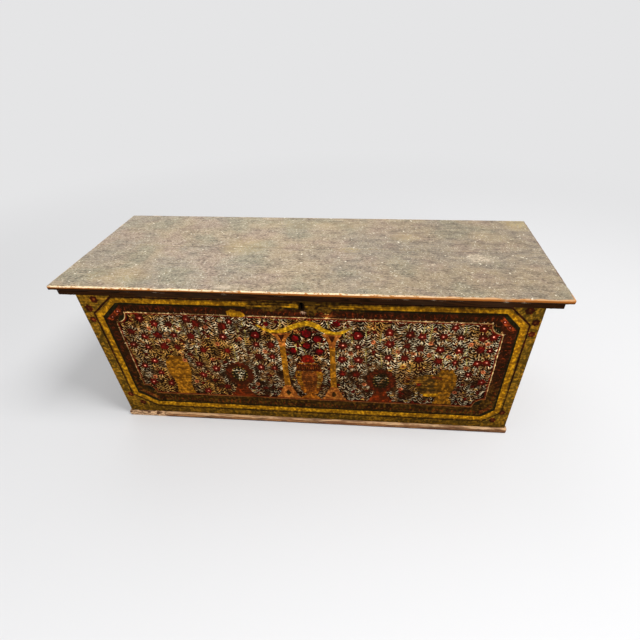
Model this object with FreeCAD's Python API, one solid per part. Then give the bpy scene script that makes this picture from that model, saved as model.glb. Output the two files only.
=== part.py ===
"""A painted wedding chest: a dovetailed plank case on a plank base, a two-plank lid with end cleats and a
front moulding, two forged strap hinges, a till at the left end and an iron lock behind the keyhole.

Millimetres. +X runs to the chest's right end, -Y to the painted front and +Z up. The origin is on the floor
under the middle of the lid, which reaches furthest on all four sides.
"""

import FreeCAD, Part
import math
import os

V = FreeCAD.Vector
UP = V(0, 0, 1)

# Case
case_length = 1465.0
case_depth = 537.0
wall_height = 556.5
wall = 24.0
front_lower_height = 255.0
back_lower_height = 262.0
end_lower_height = 268.0
tongue_width = 8.0
tongue_height = 8.0
tongue_relief = 0.4
pins_per_plank = 3
pin_outer_width = 18.0
pin_inner_width = 26.0

# Base
base_thickness = 22.0
base_projection = 9.0
base_top_round = 6.0
base_foot_round = 2.5
plank_gap = 0.4
base_planks = 3
chip_from_left = 92.0
chip_length = 48.0
chip_height = 8.0
chip_depth = 11.0

# Lid
lid_thickness = 16.0
lid_seat_gap = 0.4
lid_nose = 8.0
lid_end_overhang = 24.5
lid_rear_overhang = 37.0
lid_front_plank_depth = 304.0
lid_top_round = 4.5
lid_under_round = 3.0
lid_corner_round = 7.0
cleat_width = 41.0
cleat_height = 20.0
cleat_clearance = 2.0
cleat_rear_inset = 15.0
cleat_round = 4.0
moulding_thickness = 12.0
moulding_clearance = 2.0
moulding_round = 5.0

# Hinges
hinge_spread = 900.0
hinge_width = 36.0
knuckles = 3
leaf_thickness = 3.0
knuckle_radius = 5.0
knuckle_gap = 0.3
pin_radius = 2.5
pin_fit = 0.05
pin_head_radius = 4.2
pin_head_height = 2.0
strap_length = 400.0
strap_tip_width = 22.0
strap_disc_radius = 18.0
plate_length = 125.0
plate_tip_width = 24.0
plate_disc_radius = 17.0
notch_clearance = 1.0
notch_relief = 0.5

# Lock
lock_x = -1.0
lock_plate_thickness = 2.5
lock_plate_margin = 9.0
lock_rim_drop = 6.0
lock_height = 68.0
cover_depth = 25.0
cover_wall = 1.6
cover_end_room = 7.0
keyhole_drop = 35.5
keyhole_radius = 5.5
keyhole_slot_width = 6.0
keyhole_slot_length = 18.0
key_pin_radius = 2.2
key_pin_reach = 10.0
bolt_lift = 6.0
bolt_height = 12.0
bolt_thickness = 6.0
bolt_length = 80.0
bolt_travel = 14.0
bolt_rest_gap = 4.5
bolt_play = 0.3
talon_width = 7.0
talon_depth = 4.0
guide_thickness = 5.0
guide_wall = 3.5
guide_setback = 7.0
staple_offset = 34.0
staple_thickness = 5.0
staple_leg = 3.5
staple_play = 1.1
staple_tip = 5.0
staple_foot_length = 40.0
staple_foot_width = 32.0
staple_foot_thickness = 3.0
staple_swing_room = 1.6
slot_room = 1.6
spring_thickness = 1.2
spring_bow = 5.0
spring_stud_width = 6.0

# Till
till_width = 150.0
till_drop = 30.0
till_height = 110.0
till_board = 12.0
till_bottom_board = 10.0
till_housing = 6.0

# Forged nails: square shank, four-sided head
nail_head_width = 9.0
nail_head_height = 2.6
nail_shank = 3.2
nail_tip = 1.2
sunk_head_thickness = 2.0
sunk_head_depth = 0.4
base_nail_length = 60.0
long_side_nails = 8
short_side_nails = 3
base_nail_end_inset = 60.0
cleat_nail_length = 31.0
cleat_nails = 5
moulding_nails = 9
cleat_nail_end_inset = 35.0
strap_nail_length = 16.0
strap_nails = 5
strap_first_nail = 60.0
plate_nail_length = 24.0
plate_nails = 3
plate_first_nail = 52.0
lock_nail_length = 17.0
lock_nail_inset = 4.5
small_head_width = 7.0
small_head_height = 1.8
small_shank = 2.4

# One overrun for every through cut, and how near an edge lies to the plane that it belongs to
overrun = 10.0
edge_slack = 0.01

# Places worked out from the sizes above
lid_length = case_length + 2 * (cleat_clearance + cleat_width + lid_end_overhang)
front_overhang = moulding_clearance + moulding_thickness + lid_nose
lid_depth = front_overhang + case_depth + lid_rear_overhang
lid_front_y = -lid_depth / 2
lid_rear_y = lid_depth / 2
case_front_y = lid_front_y + front_overhang
case_back_y = case_front_y + case_depth
inner_front_y = case_front_y + wall
inner_back_y = case_back_y - wall
case_half = case_length / 2
inner_half = case_half - wall
case_bottom_z = base_thickness
case_top_z = case_bottom_z + wall_height
front_joint_z = case_bottom_z + front_lower_height
back_joint_z = case_bottom_z + back_lower_height
end_joint_z = case_bottom_z + end_lower_height
lid_under_z = case_top_z + lid_seat_gap
lid_top_z = lid_under_z + lid_thickness
cleat_inner_x = case_half + cleat_clearance
cleat_outer_x = cleat_inner_x + cleat_width
moulding_front_y = lid_front_y + lid_nose
moulding_back_y = moulding_front_y + moulding_thickness
lid_joint_y = lid_front_y + lid_front_plank_depth
hinge_y = case_back_y + knuckle_radius
hinge_z = lid_under_z - knuckle_gap - knuckle_radius
keyhole_z = case_top_z - keyhole_drop
lock_plate_y = inner_front_y + lock_plate_thickness
lock_top_z = case_top_z - lock_rim_drop
lock_bottom_z = lock_top_z - lock_height
cover_back_y = lock_plate_y + cover_depth
staple_x = lock_x + staple_offset
staple_front_y = lock_plate_y + staple_swing_room
bolt_front_y = staple_front_y + staple_leg + staple_play
bolt_back_y = bolt_front_y + bolt_thickness
staple_back_y = bolt_back_y + staple_play + staple_leg
bolt_bottom_z = keyhole_z + bolt_lift
bolt_top_z = bolt_bottom_z + bolt_height
bolt_right_x = staple_x - staple_thickness / 2 - bolt_rest_gap
bolt_left_x = bolt_right_x - bolt_length
cover_left_x = bolt_left_x - cover_end_room
cover_right_x = staple_x + staple_thickness / 2 + bolt_travel
till_top_z = case_top_z - till_drop
till_floor_z = till_top_z - till_height
till_inner_x = -inner_half + till_width
till_outer_x = till_inner_x + till_board


def box(x0, x1, y0, y1, z0, z1):
    """A block between two corners."""
    return Part.makeBox(x1 - x0, y1 - y0, z1 - z0, V(x0, y0, z0))


def prism(points, along):
    """A straight prism on a flat closed outline."""
    return Part.Face(Part.makePolygon(points + points[:1])).extrude(along)


def rounded(shape, radius, chosen):
    """The shape with the edges that the test picks rounded over."""
    return shape.makeFillet(radius, [edge for edge in shape.Edges if chosen(edge)])


def lies_on(edge, axis, place):
    """True where every corner of the edge has that coordinate."""
    return all(abs(getattr(v.Point, axis) - place) < edge_slack for v in edge.Vertexes)


def square(centre, half):
    """The four corners of a level square, as a closed wire."""
    corners = [V(-half, -half, 0), V(half, -half, 0), V(half, half, 0), V(-half, half, 0)]
    return Part.makePolygon([centre + c for c in corners + corners[:1]])


def nail(place, towards, length, head=nail_head_width, height=nail_head_height, shank=nail_shank):
    """A forged nail whose head sits on a surface at the given place and whose shank is driven towards."""
    spike = Part.makeLoft([square(V(0, 0, 0), shank / 2), square(V(0, 0, length), nail_tip / 2)], True, True)
    cap = Part.makeLoft([square(V(0, 0, -height), nail_tip / 2), square(V(0, 0, 0), head / 2)], True, True)
    whole = spike.fuse(cap).removeSplitter()
    whole.Placement = FreeCAD.Placement(place, FreeCAD.Rotation(UP, towards))
    return whole


def sunk_nail(x, y, length):
    """A flat-headed nail driven upwards from under the base, its head below the surface."""
    head_half = nail_head_width / 2
    head_top = sunk_head_depth + sunk_head_thickness
    head = box(x - head_half, x + head_half, y - head_half, y + head_half, sunk_head_depth, head_top)
    low, high = V(x, y, head_top), V(x, y, head_top + length)
    spike = Part.makeLoft([square(low, nail_shank / 2), square(high, nail_tip / 2)], True, True)
    return head.fuse(spike).removeSplitter()


def sunk_hole(x, y):
    """The mouth that a sunk nail's head leaves in the underside of the base."""
    half = nail_head_width / 2
    return box(x - half, x + half, y - half, y + half, -overrun, sunk_head_depth)


def spread(low, high, count):
    """Evenly spaced places from low to high, both included."""
    return [low + (high - low) * i / (count - 1) for i in range(count)]


def centres(low, high, count):
    """The middles of equal stretches between low and high."""
    return [low + (high - low) * (i + 0.5) / count for i in range(count)]


def without(shape, cutters):
    """The shape less every cutter that reaches it."""
    near = [c for c in cutters if c.BoundBox.intersect(shape.BoundBox)]
    return shape.cut(near) if near else shape


# Case

def corner_pins(side, y0, y1, z0, z1):
    """The dovetail pins that stand out of an end plank through the thickness of a front or back plank."""
    outer_x, inner_x = side * case_half, side * inner_half
    pins = []
    for z in centres(z0, z1, pins_per_plank):
        outline = [V(outer_x, y0, z - pin_outer_width / 2), V(outer_x, y0, z + pin_outer_width / 2),
                   V(inner_x, y0, z + pin_inner_width / 2), V(inner_x, y0, z - pin_inner_width / 2)]
        pins.append(prism(outline, V(0, y1 - y0, 0)))
    return pins


def pins_at(side, tier):
    """All pins of one end plank, those in the front planks first. The tier is lower or upper."""
    found = []
    for y0, y1, joint_z in ((case_front_y, inner_front_y, front_joint_z), (inner_back_y, case_back_y, back_joint_z)):
        if tier == "lower":
            found += corner_pins(side, y0, y1, case_bottom_z, min(joint_z, end_joint_z))
        else:
            found += corner_pins(side, y0, y1, max(joint_z, end_joint_z), case_top_z)
    return found


def tongue(x0, x1, y0, y1, z, relief=0):
    """The tongue on a lower plank's top edge, running along its longer side."""
    half = tongue_width / 2
    if x1 - x0 > y1 - y0:
        middle = (y0 + y1) / 2
        return box(x0, x1, middle - half, middle + half, z, z + tongue_height + relief)
    middle = (x0 + x1) / 2
    return box(middle - half, middle + half, y0, y1, z, z + tongue_height + relief)


def plank_pair(x0, x1, y0, y1, joint_z):
    """A lower and an upper plank, joined edge to edge by a tongue and its groove."""
    lower = box(x0, x1, y0, y1, case_bottom_z, joint_z).fuse(tongue(x0, x1, y0, y1, joint_z))
    upper = box(x0, x1, y0, y1, joint_z, case_top_z).cut(tongue(x0, x1, y0, y1, joint_z, tongue_relief))
    return lower.removeSplitter(), upper


def till_boards():
    """The open till across the left end: a floor and a front board, both housed in the case."""
    y0, y1 = inner_front_y - till_housing, inner_back_y + till_housing
    floor_top_z = till_floor_z + till_bottom_board
    floor = box(-inner_half - till_housing, till_outer_x, y0, y1, till_floor_z, floor_top_z)
    front = box(till_inner_x, till_outer_x, y0, y1, floor_top_z, till_top_z)
    return floor, front


def keyhole(y0, y1):
    """The keyhole as a solid: a round with a slot below it."""
    bore = Part.makeCylinder(keyhole_radius, y1 - y0, V(lock_x, y0, keyhole_z), V(0, 1, 0))
    half = keyhole_slot_width / 2
    slot = box(lock_x - half, lock_x + half, y0, y1, keyhole_z - keyhole_slot_length, keyhole_z)
    return bore.fuse(slot)


# Base

def base_nail_places():
    """Where nails go up through the base into the middle of the walls."""
    half = wall / 2
    reach = case_half - base_nail_end_inset
    places = []
    for y in (case_front_y + half, case_back_y - half):
        places += [(x, y) for x in spread(-reach, reach, long_side_nails)]
    for x in (-case_half + half, case_half - half):
        low, high = inner_front_y + base_nail_end_inset, inner_back_y - base_nail_end_inset
        places += [(x, y) for y in spread(low, high, short_side_nails)]
    return places


def base_boards(nails, mouths):
    """The lengthwise planks under the case, rounded where they stand out at the front and the ends."""
    half = case_half + base_projection
    front_y = case_front_y - base_projection
    step = (case_back_y - front_y) / base_planks
    boards = []
    for i in range(base_planks):
        y0 = front_y + i * step
        y1 = y0 + step - (plank_gap if i < base_planks - 1 else 0)
        board = box(-half, half, y0, y1, 0, base_thickness)

        def outside(edge):
            ends = lies_on(edge, "x", -half) or lies_on(edge, "x", half)
            return ends or (y0 == front_y and lies_on(edge, "y", front_y))

        board = rounded(board, base_top_round, lambda e: outside(e) and lies_on(e, "z", base_thickness))
        board = rounded(board, base_foot_round, lambda e: outside(e) and lies_on(e, "z", 0))
        if y0 == front_y:
            board = board.cut(edge_chip(front_y))
        boards.append(without(board, nails + mouths))
    return boards


def edge_chip(front_y):
    """The splinter lost from the foot of the front plank, near its left end."""
    x0 = -case_half + chip_from_left
    x1 = x0 + chip_length
    foot = [V(x0, front_y, -overrun), V(x1, front_y, -overrun), V(x1, front_y, 0),
            V((x0 + x1) / 2, front_y, chip_height), V(x0, front_y, chip_height / 2)]
    outline = [p - V(0, overrun, 0) for p in foot]
    return prism(outline, V(0, overrun + chip_depth, 0))


# Lid

def lid_boards(nails):
    """The front and rear planks of the lid, rounded all round their outer edge."""
    half = lid_length / 2
    boards = []
    for y0, y1, edge_y in ((lid_front_y, lid_joint_y, lid_front_y), (lid_joint_y + plank_gap, lid_rear_y, lid_rear_y)):
        board = box(-half, half, y0, y1, lid_under_z, lid_top_z)

        def upright(edge):
            return lies_on(edge, "y", edge_y) and (lies_on(edge, "x", -half) or lies_on(edge, "x", half))

        board = rounded(board, lid_corner_round, upright)
        joint = lid_joint_y if edge_y == lid_front_y else y0
        board = rounded(board, lid_top_round, lambda e: lies_on(e, "z", lid_top_z) and not lies_on(e, "y", joint))
        board = rounded(board, lid_under_round, lambda e: lies_on(e, "z", lid_under_z) and not lies_on(e, "y", joint))
        boards.append(without(board, nails))
    return boards


def lid_cleat(side, nails):
    """A cleat under one end of the lid, lapping over the outside of the case's end."""
    x0, x1 = sorted((side * cleat_inner_x, side * cleat_outer_x))
    y1 = lid_rear_y - cleat_rear_inset
    cleat = box(x0, x1, moulding_back_y, y1, lid_under_z - cleat_height, lid_under_z)

    def worn(edge):
        return lies_on(edge, "z", lid_under_z - cleat_height) and lies_on(edge, "x", side * cleat_outer_x)

    return without(rounded(cleat, cleat_round, worn), nails)


def lid_moulding(nails):
    """The strip under the lid's front edge, in front of the case and of both cleats."""
    z0 = lid_under_z - cleat_height
    strip = box(-cleat_outer_x, cleat_outer_x, moulding_front_y, moulding_back_y, z0, lid_under_z)
    strip = rounded(strip, moulding_round, lambda e: lies_on(e, "z", z0) and lies_on(e, "y", moulding_front_y))
    return without(strip, nails)


def cleat_nail_set():
    """Nails driven up through the cleats and the moulding into the lid."""
    z = lid_under_z - cleat_height
    nails = []
    low, high = moulding_back_y + cleat_nail_end_inset, lid_rear_y - cleat_rear_inset - cleat_nail_end_inset
    for side in (-1, 1):
        x = side * (cleat_inner_x + cleat_width / 2)
        nails += [nail(V(x, y, z), UP, cleat_nail_length) for y in spread(low, high, cleat_nails)]
    y = (moulding_front_y + moulding_back_y) / 2
    reach = cleat_outer_x - cleat_nail_end_inset
    for x in spread(-reach, reach, moulding_nails):
        nails.append(nail(V(x, y, z), UP, cleat_nail_length, small_head_width, small_head_height, small_shank))
    return nails


# Hinges

def along_x(x0, x1, radius):
    """A rod on the hinge's axis."""
    return Part.makeCylinder(radius, x1 - x0, V(x0, hinge_y, hinge_z), V(1, 0, 0))


def middle_knuckle(x):
    """The two ends of the middle knuckle, which the case's leaf carries."""
    half = hinge_width / knuckles / 2
    return x - half, x + half


def hinge_strap(x, nails):
    """The lid's leaf: a long tapered strap with a disc at its tip and the two outer knuckles."""
    half = hinge_width / 2
    z0 = lid_under_z - leaf_thickness
    tip_y = hinge_y - strap_length
    outline = [V(x - half, hinge_y, z0), V(x + half, hinge_y, z0),
               V(x + strap_tip_width / 2, tip_y, z0), V(x - strap_tip_width / 2, tip_y, z0)]
    strap = prism(outline, V(0, 0, leaf_thickness))
    disc = Part.makeCylinder(strap_disc_radius, leaf_thickness, V(x, tip_y, z0))
    leaf = strap.fuse([disc, along_x(x - half, x + half, knuckle_radius)])
    m0, m1 = middle_knuckle(x)
    reach = knuckle_radius + knuckle_gap
    clear = box(m0 - knuckle_gap, m1 + knuckle_gap, hinge_y - reach, hinge_y + reach, hinge_z - reach, lid_top_z)
    leaf = leaf.cut([clear, along_x(x - half - overrun, x + half + overrun, pin_radius + pin_fit)])
    return without(leaf.removeSplitter(), nails)


def hinge_plate(x, nails):
    """The case's leaf, nailed down the outside of the back, with the middle knuckle."""
    half = hinge_width / 2
    tip_z = hinge_z - plate_length
    outline = [V(x - half, case_back_y, hinge_z), V(x + half, case_back_y, hinge_z),
               V(x + plate_tip_width / 2, case_back_y, tip_z), V(x - plate_tip_width / 2, case_back_y, tip_z)]
    plate = prism(outline, V(0, leaf_thickness, 0))
    disc = Part.makeCylinder(plate_disc_radius, leaf_thickness, V(x, case_back_y, tip_z), V(0, 1, 0))
    m0, m1 = middle_knuckle(x)
    leaf = plate.fuse([disc, along_x(m0, m1, knuckle_radius)])
    low_z = hinge_z - knuckle_radius - knuckle_gap
    for x0, x1 in ((x - half - overrun, m0), (m1, x + half + overrun)):
        leaf = leaf.cut(box(x0, x1, case_back_y - overrun, case_back_y + overrun, low_z, lid_top_z))
    leaf = leaf.cut(along_x(x - half, x + half, pin_radius + pin_fit))
    return without(leaf.removeSplitter(), nails)


def hinge_pin(x):
    """The rivet through the three knuckles, with a head at each end."""
    end = hinge_width / 2 + knuckle_gap
    rod = along_x(x - end, x + end, pin_radius)
    left = along_x(x - end - pin_head_height, x - end, pin_head_radius)
    right = along_x(x + end, x + end + pin_head_height, pin_head_radius)
    return rod.fuse([left, right]).removeSplitter()


def strap_nail_set(x):
    """Nails up through the strap into both planks of the lid."""
    z = lid_under_z - leaf_thickness
    far = strap_length
    return [nail(V(x, hinge_y - d, z), UP, strap_nail_length, small_head_width, small_head_height, small_shank)
            for d in spread(strap_first_nail, far, strap_nails)]


def plate_nail_set(x):
    """Nails through the plate into the back, below the sweep of the open lid's rear edge."""
    y = case_back_y + leaf_thickness
    return [nail(V(x, y, hinge_z - d), V(0, -1, 0), plate_nail_length, small_head_width, small_head_height, small_shank)
            for d in spread(plate_first_nail, plate_length, plate_nails)]


def strap_notch(x):
    """The notch in the back's top edge that lets a strap pass under the closed lid."""
    half = hinge_width / 2 + notch_clearance
    z0 = lid_under_z - leaf_thickness - notch_relief
    return box(x - half, x + half, inner_back_y - overrun, case_back_y + overrun, z0, lid_top_z)


# Lock

def lock_plate(nails):
    """The plate nailed inside the front, with the keyhole through it."""
    x0, x1 = cover_left_x - lock_plate_margin, cover_right_x + lock_plate_margin
    plate = box(x0, x1, inner_front_y, lock_plate_y, lock_bottom_z - lock_plate_margin, lock_top_z)
    return without(plate.cut(keyhole(inner_front_y - overrun, lock_plate_y + overrun)), nails)


def lock_cover():
    """The sheet cover over the works, open towards the plate, with a slot on top for the lid's staple."""
    outer = box(cover_left_x, cover_right_x, lock_plate_y, cover_back_y, lock_bottom_z, lock_top_z)
    inner = box(cover_left_x + cover_wall, cover_right_x - cover_wall, lock_plate_y - overrun,
                cover_back_y - cover_wall, lock_bottom_z + cover_wall, lock_top_z - cover_wall)
    half = staple_thickness / 2 + slot_room
    slot = box(staple_x - half, staple_x + half, lock_plate_y, staple_back_y + slot_room,
               lock_top_z - cover_wall - overrun, lock_top_z + overrun)
    return outer.cut([inner, slot])


def lock_bolt():
    """The sliding bolt, drawn back to its unlocked place, with the key's talon cut in its lower edge."""
    bolt = box(bolt_left_x, bolt_right_x, bolt_front_y, bolt_back_y, bolt_bottom_z, bolt_top_z)
    talon = box(lock_x - talon_width / 2, lock_x + talon_width / 2, bolt_front_y - overrun, bolt_back_y + overrun,
                bolt_bottom_z - overrun, bolt_bottom_z + talon_depth)
    return bolt.cut(talon)


def lock_guides():
    """Two brackets on the plate that the bolt slides through."""
    left_x = bolt_left_x + bolt_travel + guide_setback
    right_x = bolt_right_x - guide_setback
    y1 = bolt_back_y + bolt_play + guide_wall
    z0, z1 = bolt_bottom_z - bolt_play, bolt_top_z + bolt_play
    window_y0, window_y1 = bolt_front_y - bolt_play, bolt_back_y + bolt_play
    guides = []
    for x0 in (left_x, right_x - guide_thickness):
        x1 = x0 + guide_thickness
        block = box(x0, x1, lock_plate_y, y1, z0 - guide_wall, z1 + guide_wall)
        guides.append(block.cut(box(x0 - overrun, x1 + overrun, window_y0, window_y1, z0, z1)))
    return guides


def lock_spring():
    """The bowed leaf that bears on the bolt's top edge, on a stud that stands on the plate."""
    stud_x = bolt_left_x + bolt_travel + guide_setback + guide_thickness + bolt_play
    tip_x = bolt_right_x - guide_setback - guide_thickness - bolt_play
    foot_z = bolt_top_z + bolt_play
    middle_x = (stud_x + spring_stud_width + tip_x) / 2
    start, end = V(stud_x, bolt_front_y, foot_z + spring_bow), V(tip_x, bolt_front_y, foot_z + spring_bow)
    dip = V(middle_x, bolt_front_y, foot_z)
    lift = V(0, 0, spring_thickness)
    edges = [Part.Arc(start, dip, end).toShape(), Part.makeLine(end, end + lift),
             Part.Arc(end + lift, dip + lift, start + lift).toShape(), Part.makeLine(start + lift, start)]
    leaf = Part.Face(Part.Wire(edges)).extrude(V(0, bolt_thickness, 0))
    stud = box(stud_x, stud_x + spring_stud_width, lock_plate_y, bolt_back_y,
               foot_z + spring_bow, foot_z + spring_bow + spring_thickness)
    return leaf.fuse(stud).removeSplitter()


def key_pin():
    """The pin on the cover that a pipe key turns on, reaching into the keyhole."""
    y0, y1 = inner_front_y - key_pin_reach, cover_back_y - cover_wall
    return Part.makeCylinder(key_pin_radius, y1 - y0, V(lock_x, y0, keyhole_z), V(0, 1, 0))


def lid_staple(nails):
    """The staple under the lid: a foot plate and a tongue with an eye for the bolt."""
    half, foot_half = staple_thickness / 2, staple_foot_width / 2
    foot_z = lid_under_z - staple_foot_thickness
    foot = box(staple_x - foot_half, staple_x + foot_half, staple_front_y, staple_front_y + staple_foot_length,
               foot_z, lid_under_z)
    eye_z0, eye_z1 = bolt_bottom_z - staple_play, bolt_top_z + staple_play
    tongue_bar = box(staple_x - half, staple_x + half, staple_front_y, staple_back_y, eye_z0 - staple_tip, lid_under_z)
    eye = box(staple_x - half - overrun, staple_x + half + overrun, bolt_front_y - staple_play,
              bolt_back_y + staple_play, eye_z0, eye_z1)
    return without(foot.fuse(tongue_bar).cut(eye).removeSplitter(), nails)


def staple_nail_set():
    """Two nails at the rear of the staple's foot and one each side of its tongue."""
    z = lid_under_z - staple_foot_thickness
    reach = staple_foot_width / 2 - small_head_width / 2 - nail_tip
    rear_y = staple_front_y + staple_foot_length - small_head_width
    front_y = staple_front_y + small_head_width
    places = [(staple_x + s * reach, y) for s in (-1, 1) for y in (front_y, rear_y)]
    return [nail(V(x, y, z), UP, strap_nail_length, small_head_width, small_head_height, small_shank)
            for x, y in places]


def lock_nail_set():
    """A nail near each corner of the lock plate."""
    x0, x1 = cover_left_x - lock_nail_inset, cover_right_x + lock_nail_inset
    z0, z1 = lock_bottom_z + small_head_width, lock_top_z - small_head_width
    return [nail(V(x, lock_plate_y, z), V(0, -1, 0), lock_nail_length, small_head_width, small_head_height,
                 small_shank) for x in (x0, x1) for z in (z0, z1)]


def build():
    """Every piece of the chest by name. A group of like nails is a list of solids."""
    hinge_places = {"left": -hinge_spread / 2, "right": hinge_spread / 2}
    base_places = base_nail_places()
    base_nails = [sunk_nail(x, y, base_nail_length) for x, y in base_places]
    mouths = [sunk_hole(x, y) for x, y in base_places]
    cleat_nails_all = cleat_nail_set()
    strap_nails_all = [n for x in hinge_places.values() for n in strap_nail_set(x)]
    plate_nails_all = [n for x in hinge_places.values() for n in plate_nail_set(x)]
    staple_nails = staple_nail_set()
    lock_nails = lock_nail_set()
    till_floor, till_front = till_boards()
    housings = [till_floor, till_front]
    notches = [strap_notch(x) for x in hinge_places.values()]

    pins = {(side, tier): pins_at(side, tier) for side in (-1, 1) for tier in ("lower", "upper")}
    all_pins = [p for group in pins.values() for p in group]
    long_cuts = all_pins + housings + base_nails + lock_nails + plate_nails_all

    parts = {}
    lower, upper = plank_pair(-case_half, case_half, case_front_y, inner_front_y, front_joint_z)
    parts["front_plank_lower"] = without(lower, long_cuts)
    parts["front_plank_upper"] = without(upper, long_cuts).cut(
        keyhole(case_front_y - overrun, inner_front_y + overrun))
    lower, upper = plank_pair(-case_half, case_half, inner_back_y, case_back_y, back_joint_z)
    parts["back_plank_lower"] = without(lower, long_cuts)
    parts["back_plank_upper"] = without(upper, long_cuts + notches)
    for side, name in ((-1, "left"), (1, "right")):
        x0, x1 = sorted((side * case_half, side * inner_half))
        lower, upper = plank_pair(x0, x1, inner_front_y, inner_back_y, end_joint_z)
        end_cuts = housings + base_nails
        parts[name + "_end_plank_lower"] = without(lower.fuse(pins[side, "lower"]).removeSplitter(), end_cuts)
        parts[name + "_end_plank_upper"] = without(upper.fuse(pins[side, "upper"]).removeSplitter(), end_cuts)
        parts["lid_cleat_" + name] = lid_cleat(side, cleat_nails_all)

    names = ["base_plank_front", "base_plank_middle", "base_plank_back"]
    parts.update(zip(names, base_boards(base_nails, mouths)))
    lid_nails = cleat_nails_all + strap_nails_all + staple_nails
    parts.update(zip(["lid_plank_front", "lid_plank_back"], lid_boards(lid_nails)))
    parts["lid_front_moulding"] = lid_moulding(cleat_nails_all)
    for name, x in hinge_places.items():
        parts["hinge_strap_" + name] = hinge_strap(x, strap_nails_all)
        parts["hinge_plate_" + name] = hinge_plate(x, plate_nails_all)
        parts["hinge_pin_" + name] = hinge_pin(x)
    parts["lock_plate"] = lock_plate(lock_nails)
    parts["lock_cover"] = lock_cover()
    parts["lock_bolt"] = lock_bolt()
    parts["lock_guides"] = lock_guides()
    parts["lock_spring"] = lock_spring()
    parts["lock_key_pin"] = key_pin()
    parts["lid_staple"] = lid_staple(staple_nails)
    parts["till_floor"] = till_floor
    parts["till_front"] = till_front
    parts["base_nails"] = base_nails
    parts["cleat_nails"] = cleat_nails_all
    parts["hinge_strap_nails"] = strap_nails_all
    parts["hinge_plate_nails"] = plate_nails_all
    parts["lock_nails"] = lock_nails
    parts["lid_staple_nails"] = staple_nails
    return parts


def lid_stop_angle():
    """How far the lid opens, in degrees, before its rear edge meets the hinge plates."""
    back, rise = lid_rear_y - hinge_y, lid_under_z - hinge_z
    plate = case_back_y + leaf_thickness - hinge_y
    return math.degrees(math.acos(plate / math.hypot(back, rise)) + math.atan2(rise, back))


def main():
    os.makedirs("parts", exist_ok=True)
    for name, piece in build().items():
        shape = Part.makeCompound(piece) if isinstance(piece, list) else piece
        shape.exportStep("parts/" + name + ".step")
        print(name, len(shape.Solids), "solids", round(shape.Volume), "mm3", shape.isValid())
    print("hinge axis at y", round(hinge_y, 2), "z", round(hinge_z, 2))
    print("lid", lid_length, "by", lid_depth, "with its top at", round(lid_top_z, 2))
    print("lid stops at", round(lid_stop_angle(), 1), "degrees, bolt slides", bolt_travel)


main()
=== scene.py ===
# %% [markdown]
# # A painted wedding chest
# The real chest is a long box of softwood planks with a thin lid. Its front is painted all over: an ochre frame
# with cut corners holds a dark panel of flowering stems, with an arch on two columns, an urn, two wreaths and two
# vases. The planks, the ironwork and everything that moves come ready made, in one fixed frame, so this lesson
# only dresses them. We load that frame first. Nothing that we add may reach outside it.

# %% Load the frame
import bmesh
import bpy
import math
from mathutils import Euler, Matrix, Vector, noise
from random import Random


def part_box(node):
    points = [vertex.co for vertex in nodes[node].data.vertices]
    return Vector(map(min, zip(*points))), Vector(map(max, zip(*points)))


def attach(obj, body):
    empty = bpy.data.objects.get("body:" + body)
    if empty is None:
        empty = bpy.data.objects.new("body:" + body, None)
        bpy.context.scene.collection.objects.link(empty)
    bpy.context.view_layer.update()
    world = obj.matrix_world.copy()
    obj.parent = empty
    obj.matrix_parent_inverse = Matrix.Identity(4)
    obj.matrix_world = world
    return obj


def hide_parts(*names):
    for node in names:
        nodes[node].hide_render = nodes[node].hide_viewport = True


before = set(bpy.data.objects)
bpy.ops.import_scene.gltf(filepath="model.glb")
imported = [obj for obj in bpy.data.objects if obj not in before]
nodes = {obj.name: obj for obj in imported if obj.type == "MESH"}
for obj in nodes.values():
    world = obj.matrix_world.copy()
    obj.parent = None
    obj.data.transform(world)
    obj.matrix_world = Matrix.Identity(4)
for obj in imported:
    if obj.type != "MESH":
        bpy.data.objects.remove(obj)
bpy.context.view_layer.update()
MM = 0.001

# %% [markdown]
# Every place on the front is read as a painter would measure it: so far to the right of the middle, and so far
# below the top of the closed lid. A few planes of the chest turn those two measures into a point in space. The
# paint is built in thin layers, each a tenth of a millimetre or so, one over the other.

# %% Planes that the paint is measured from
UPPER_LOW, UPPER_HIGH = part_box("front_plank_upper")
FRONT_Y = UPPER_LOW.y
CASE_RIGHT = UPPER_HIGH.x
PLANK_JOINT_Z = UPPER_LOW.z
LID_LOW, LID_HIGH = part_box("lid_plank_front")
LID_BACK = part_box("lid_plank_back")[1].y
LAYER = 0.12 * MM


def at(x, depth, layer=0):
    """The point x mm right of the middle and depth mm below the lid's top, on a layer of the front's paint."""
    return Vector((x * MM, FRONT_Y - layer * LAYER, LID_HIGH.z - depth * MM))


print("front plane at", round(FRONT_Y, 4), "plank joint at", round(PLANK_JOINT_Z, 4))

# %% [markdown]
# ## Camera
# The photograph was taken with a wide lens from above, a little right of the middle, so the chest seems to taper
# downwards. The place and the lens were worked out from the chest's corners. A small shift of the lens stands for
# the cropping of the picture.

# %% Camera
CAMERA_PLACE = (0.2255, -1.3635, 1.2286)
CAMERA_TURN = (math.radians(49.837), math.radians(0.918), math.radians(4.597))
LENS_MM = 23.344
LENS_SHIFT = (-0.0351, 0.0684)

camera = bpy.data.objects.new("camera", bpy.data.cameras.new("camera"))
camera.data.lens = LENS_MM
camera.data.shift_x, camera.data.shift_y = LENS_SHIFT
camera.location = CAMERA_PLACE
camera.rotation_euler = Euler(CAMERA_TURN, "XYZ")
bpy.context.scene.collection.objects.link(camera)
bpy.context.scene.camera = camera
print("camera at", CAMERA_PLACE, "lens", LENS_MM)

# %% [markdown]
# ## Nodes for colour
# A finish is a small network of nodes, and writing one out in full is long. A few helpers keep it short: one adds
# any node, and the others add arithmetic, a cloud of noise, and a soft threshold. Colours are written as a
# painter's chart gives them, from 0 to 255, and turned into the linear light that the renderer counts in.

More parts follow.
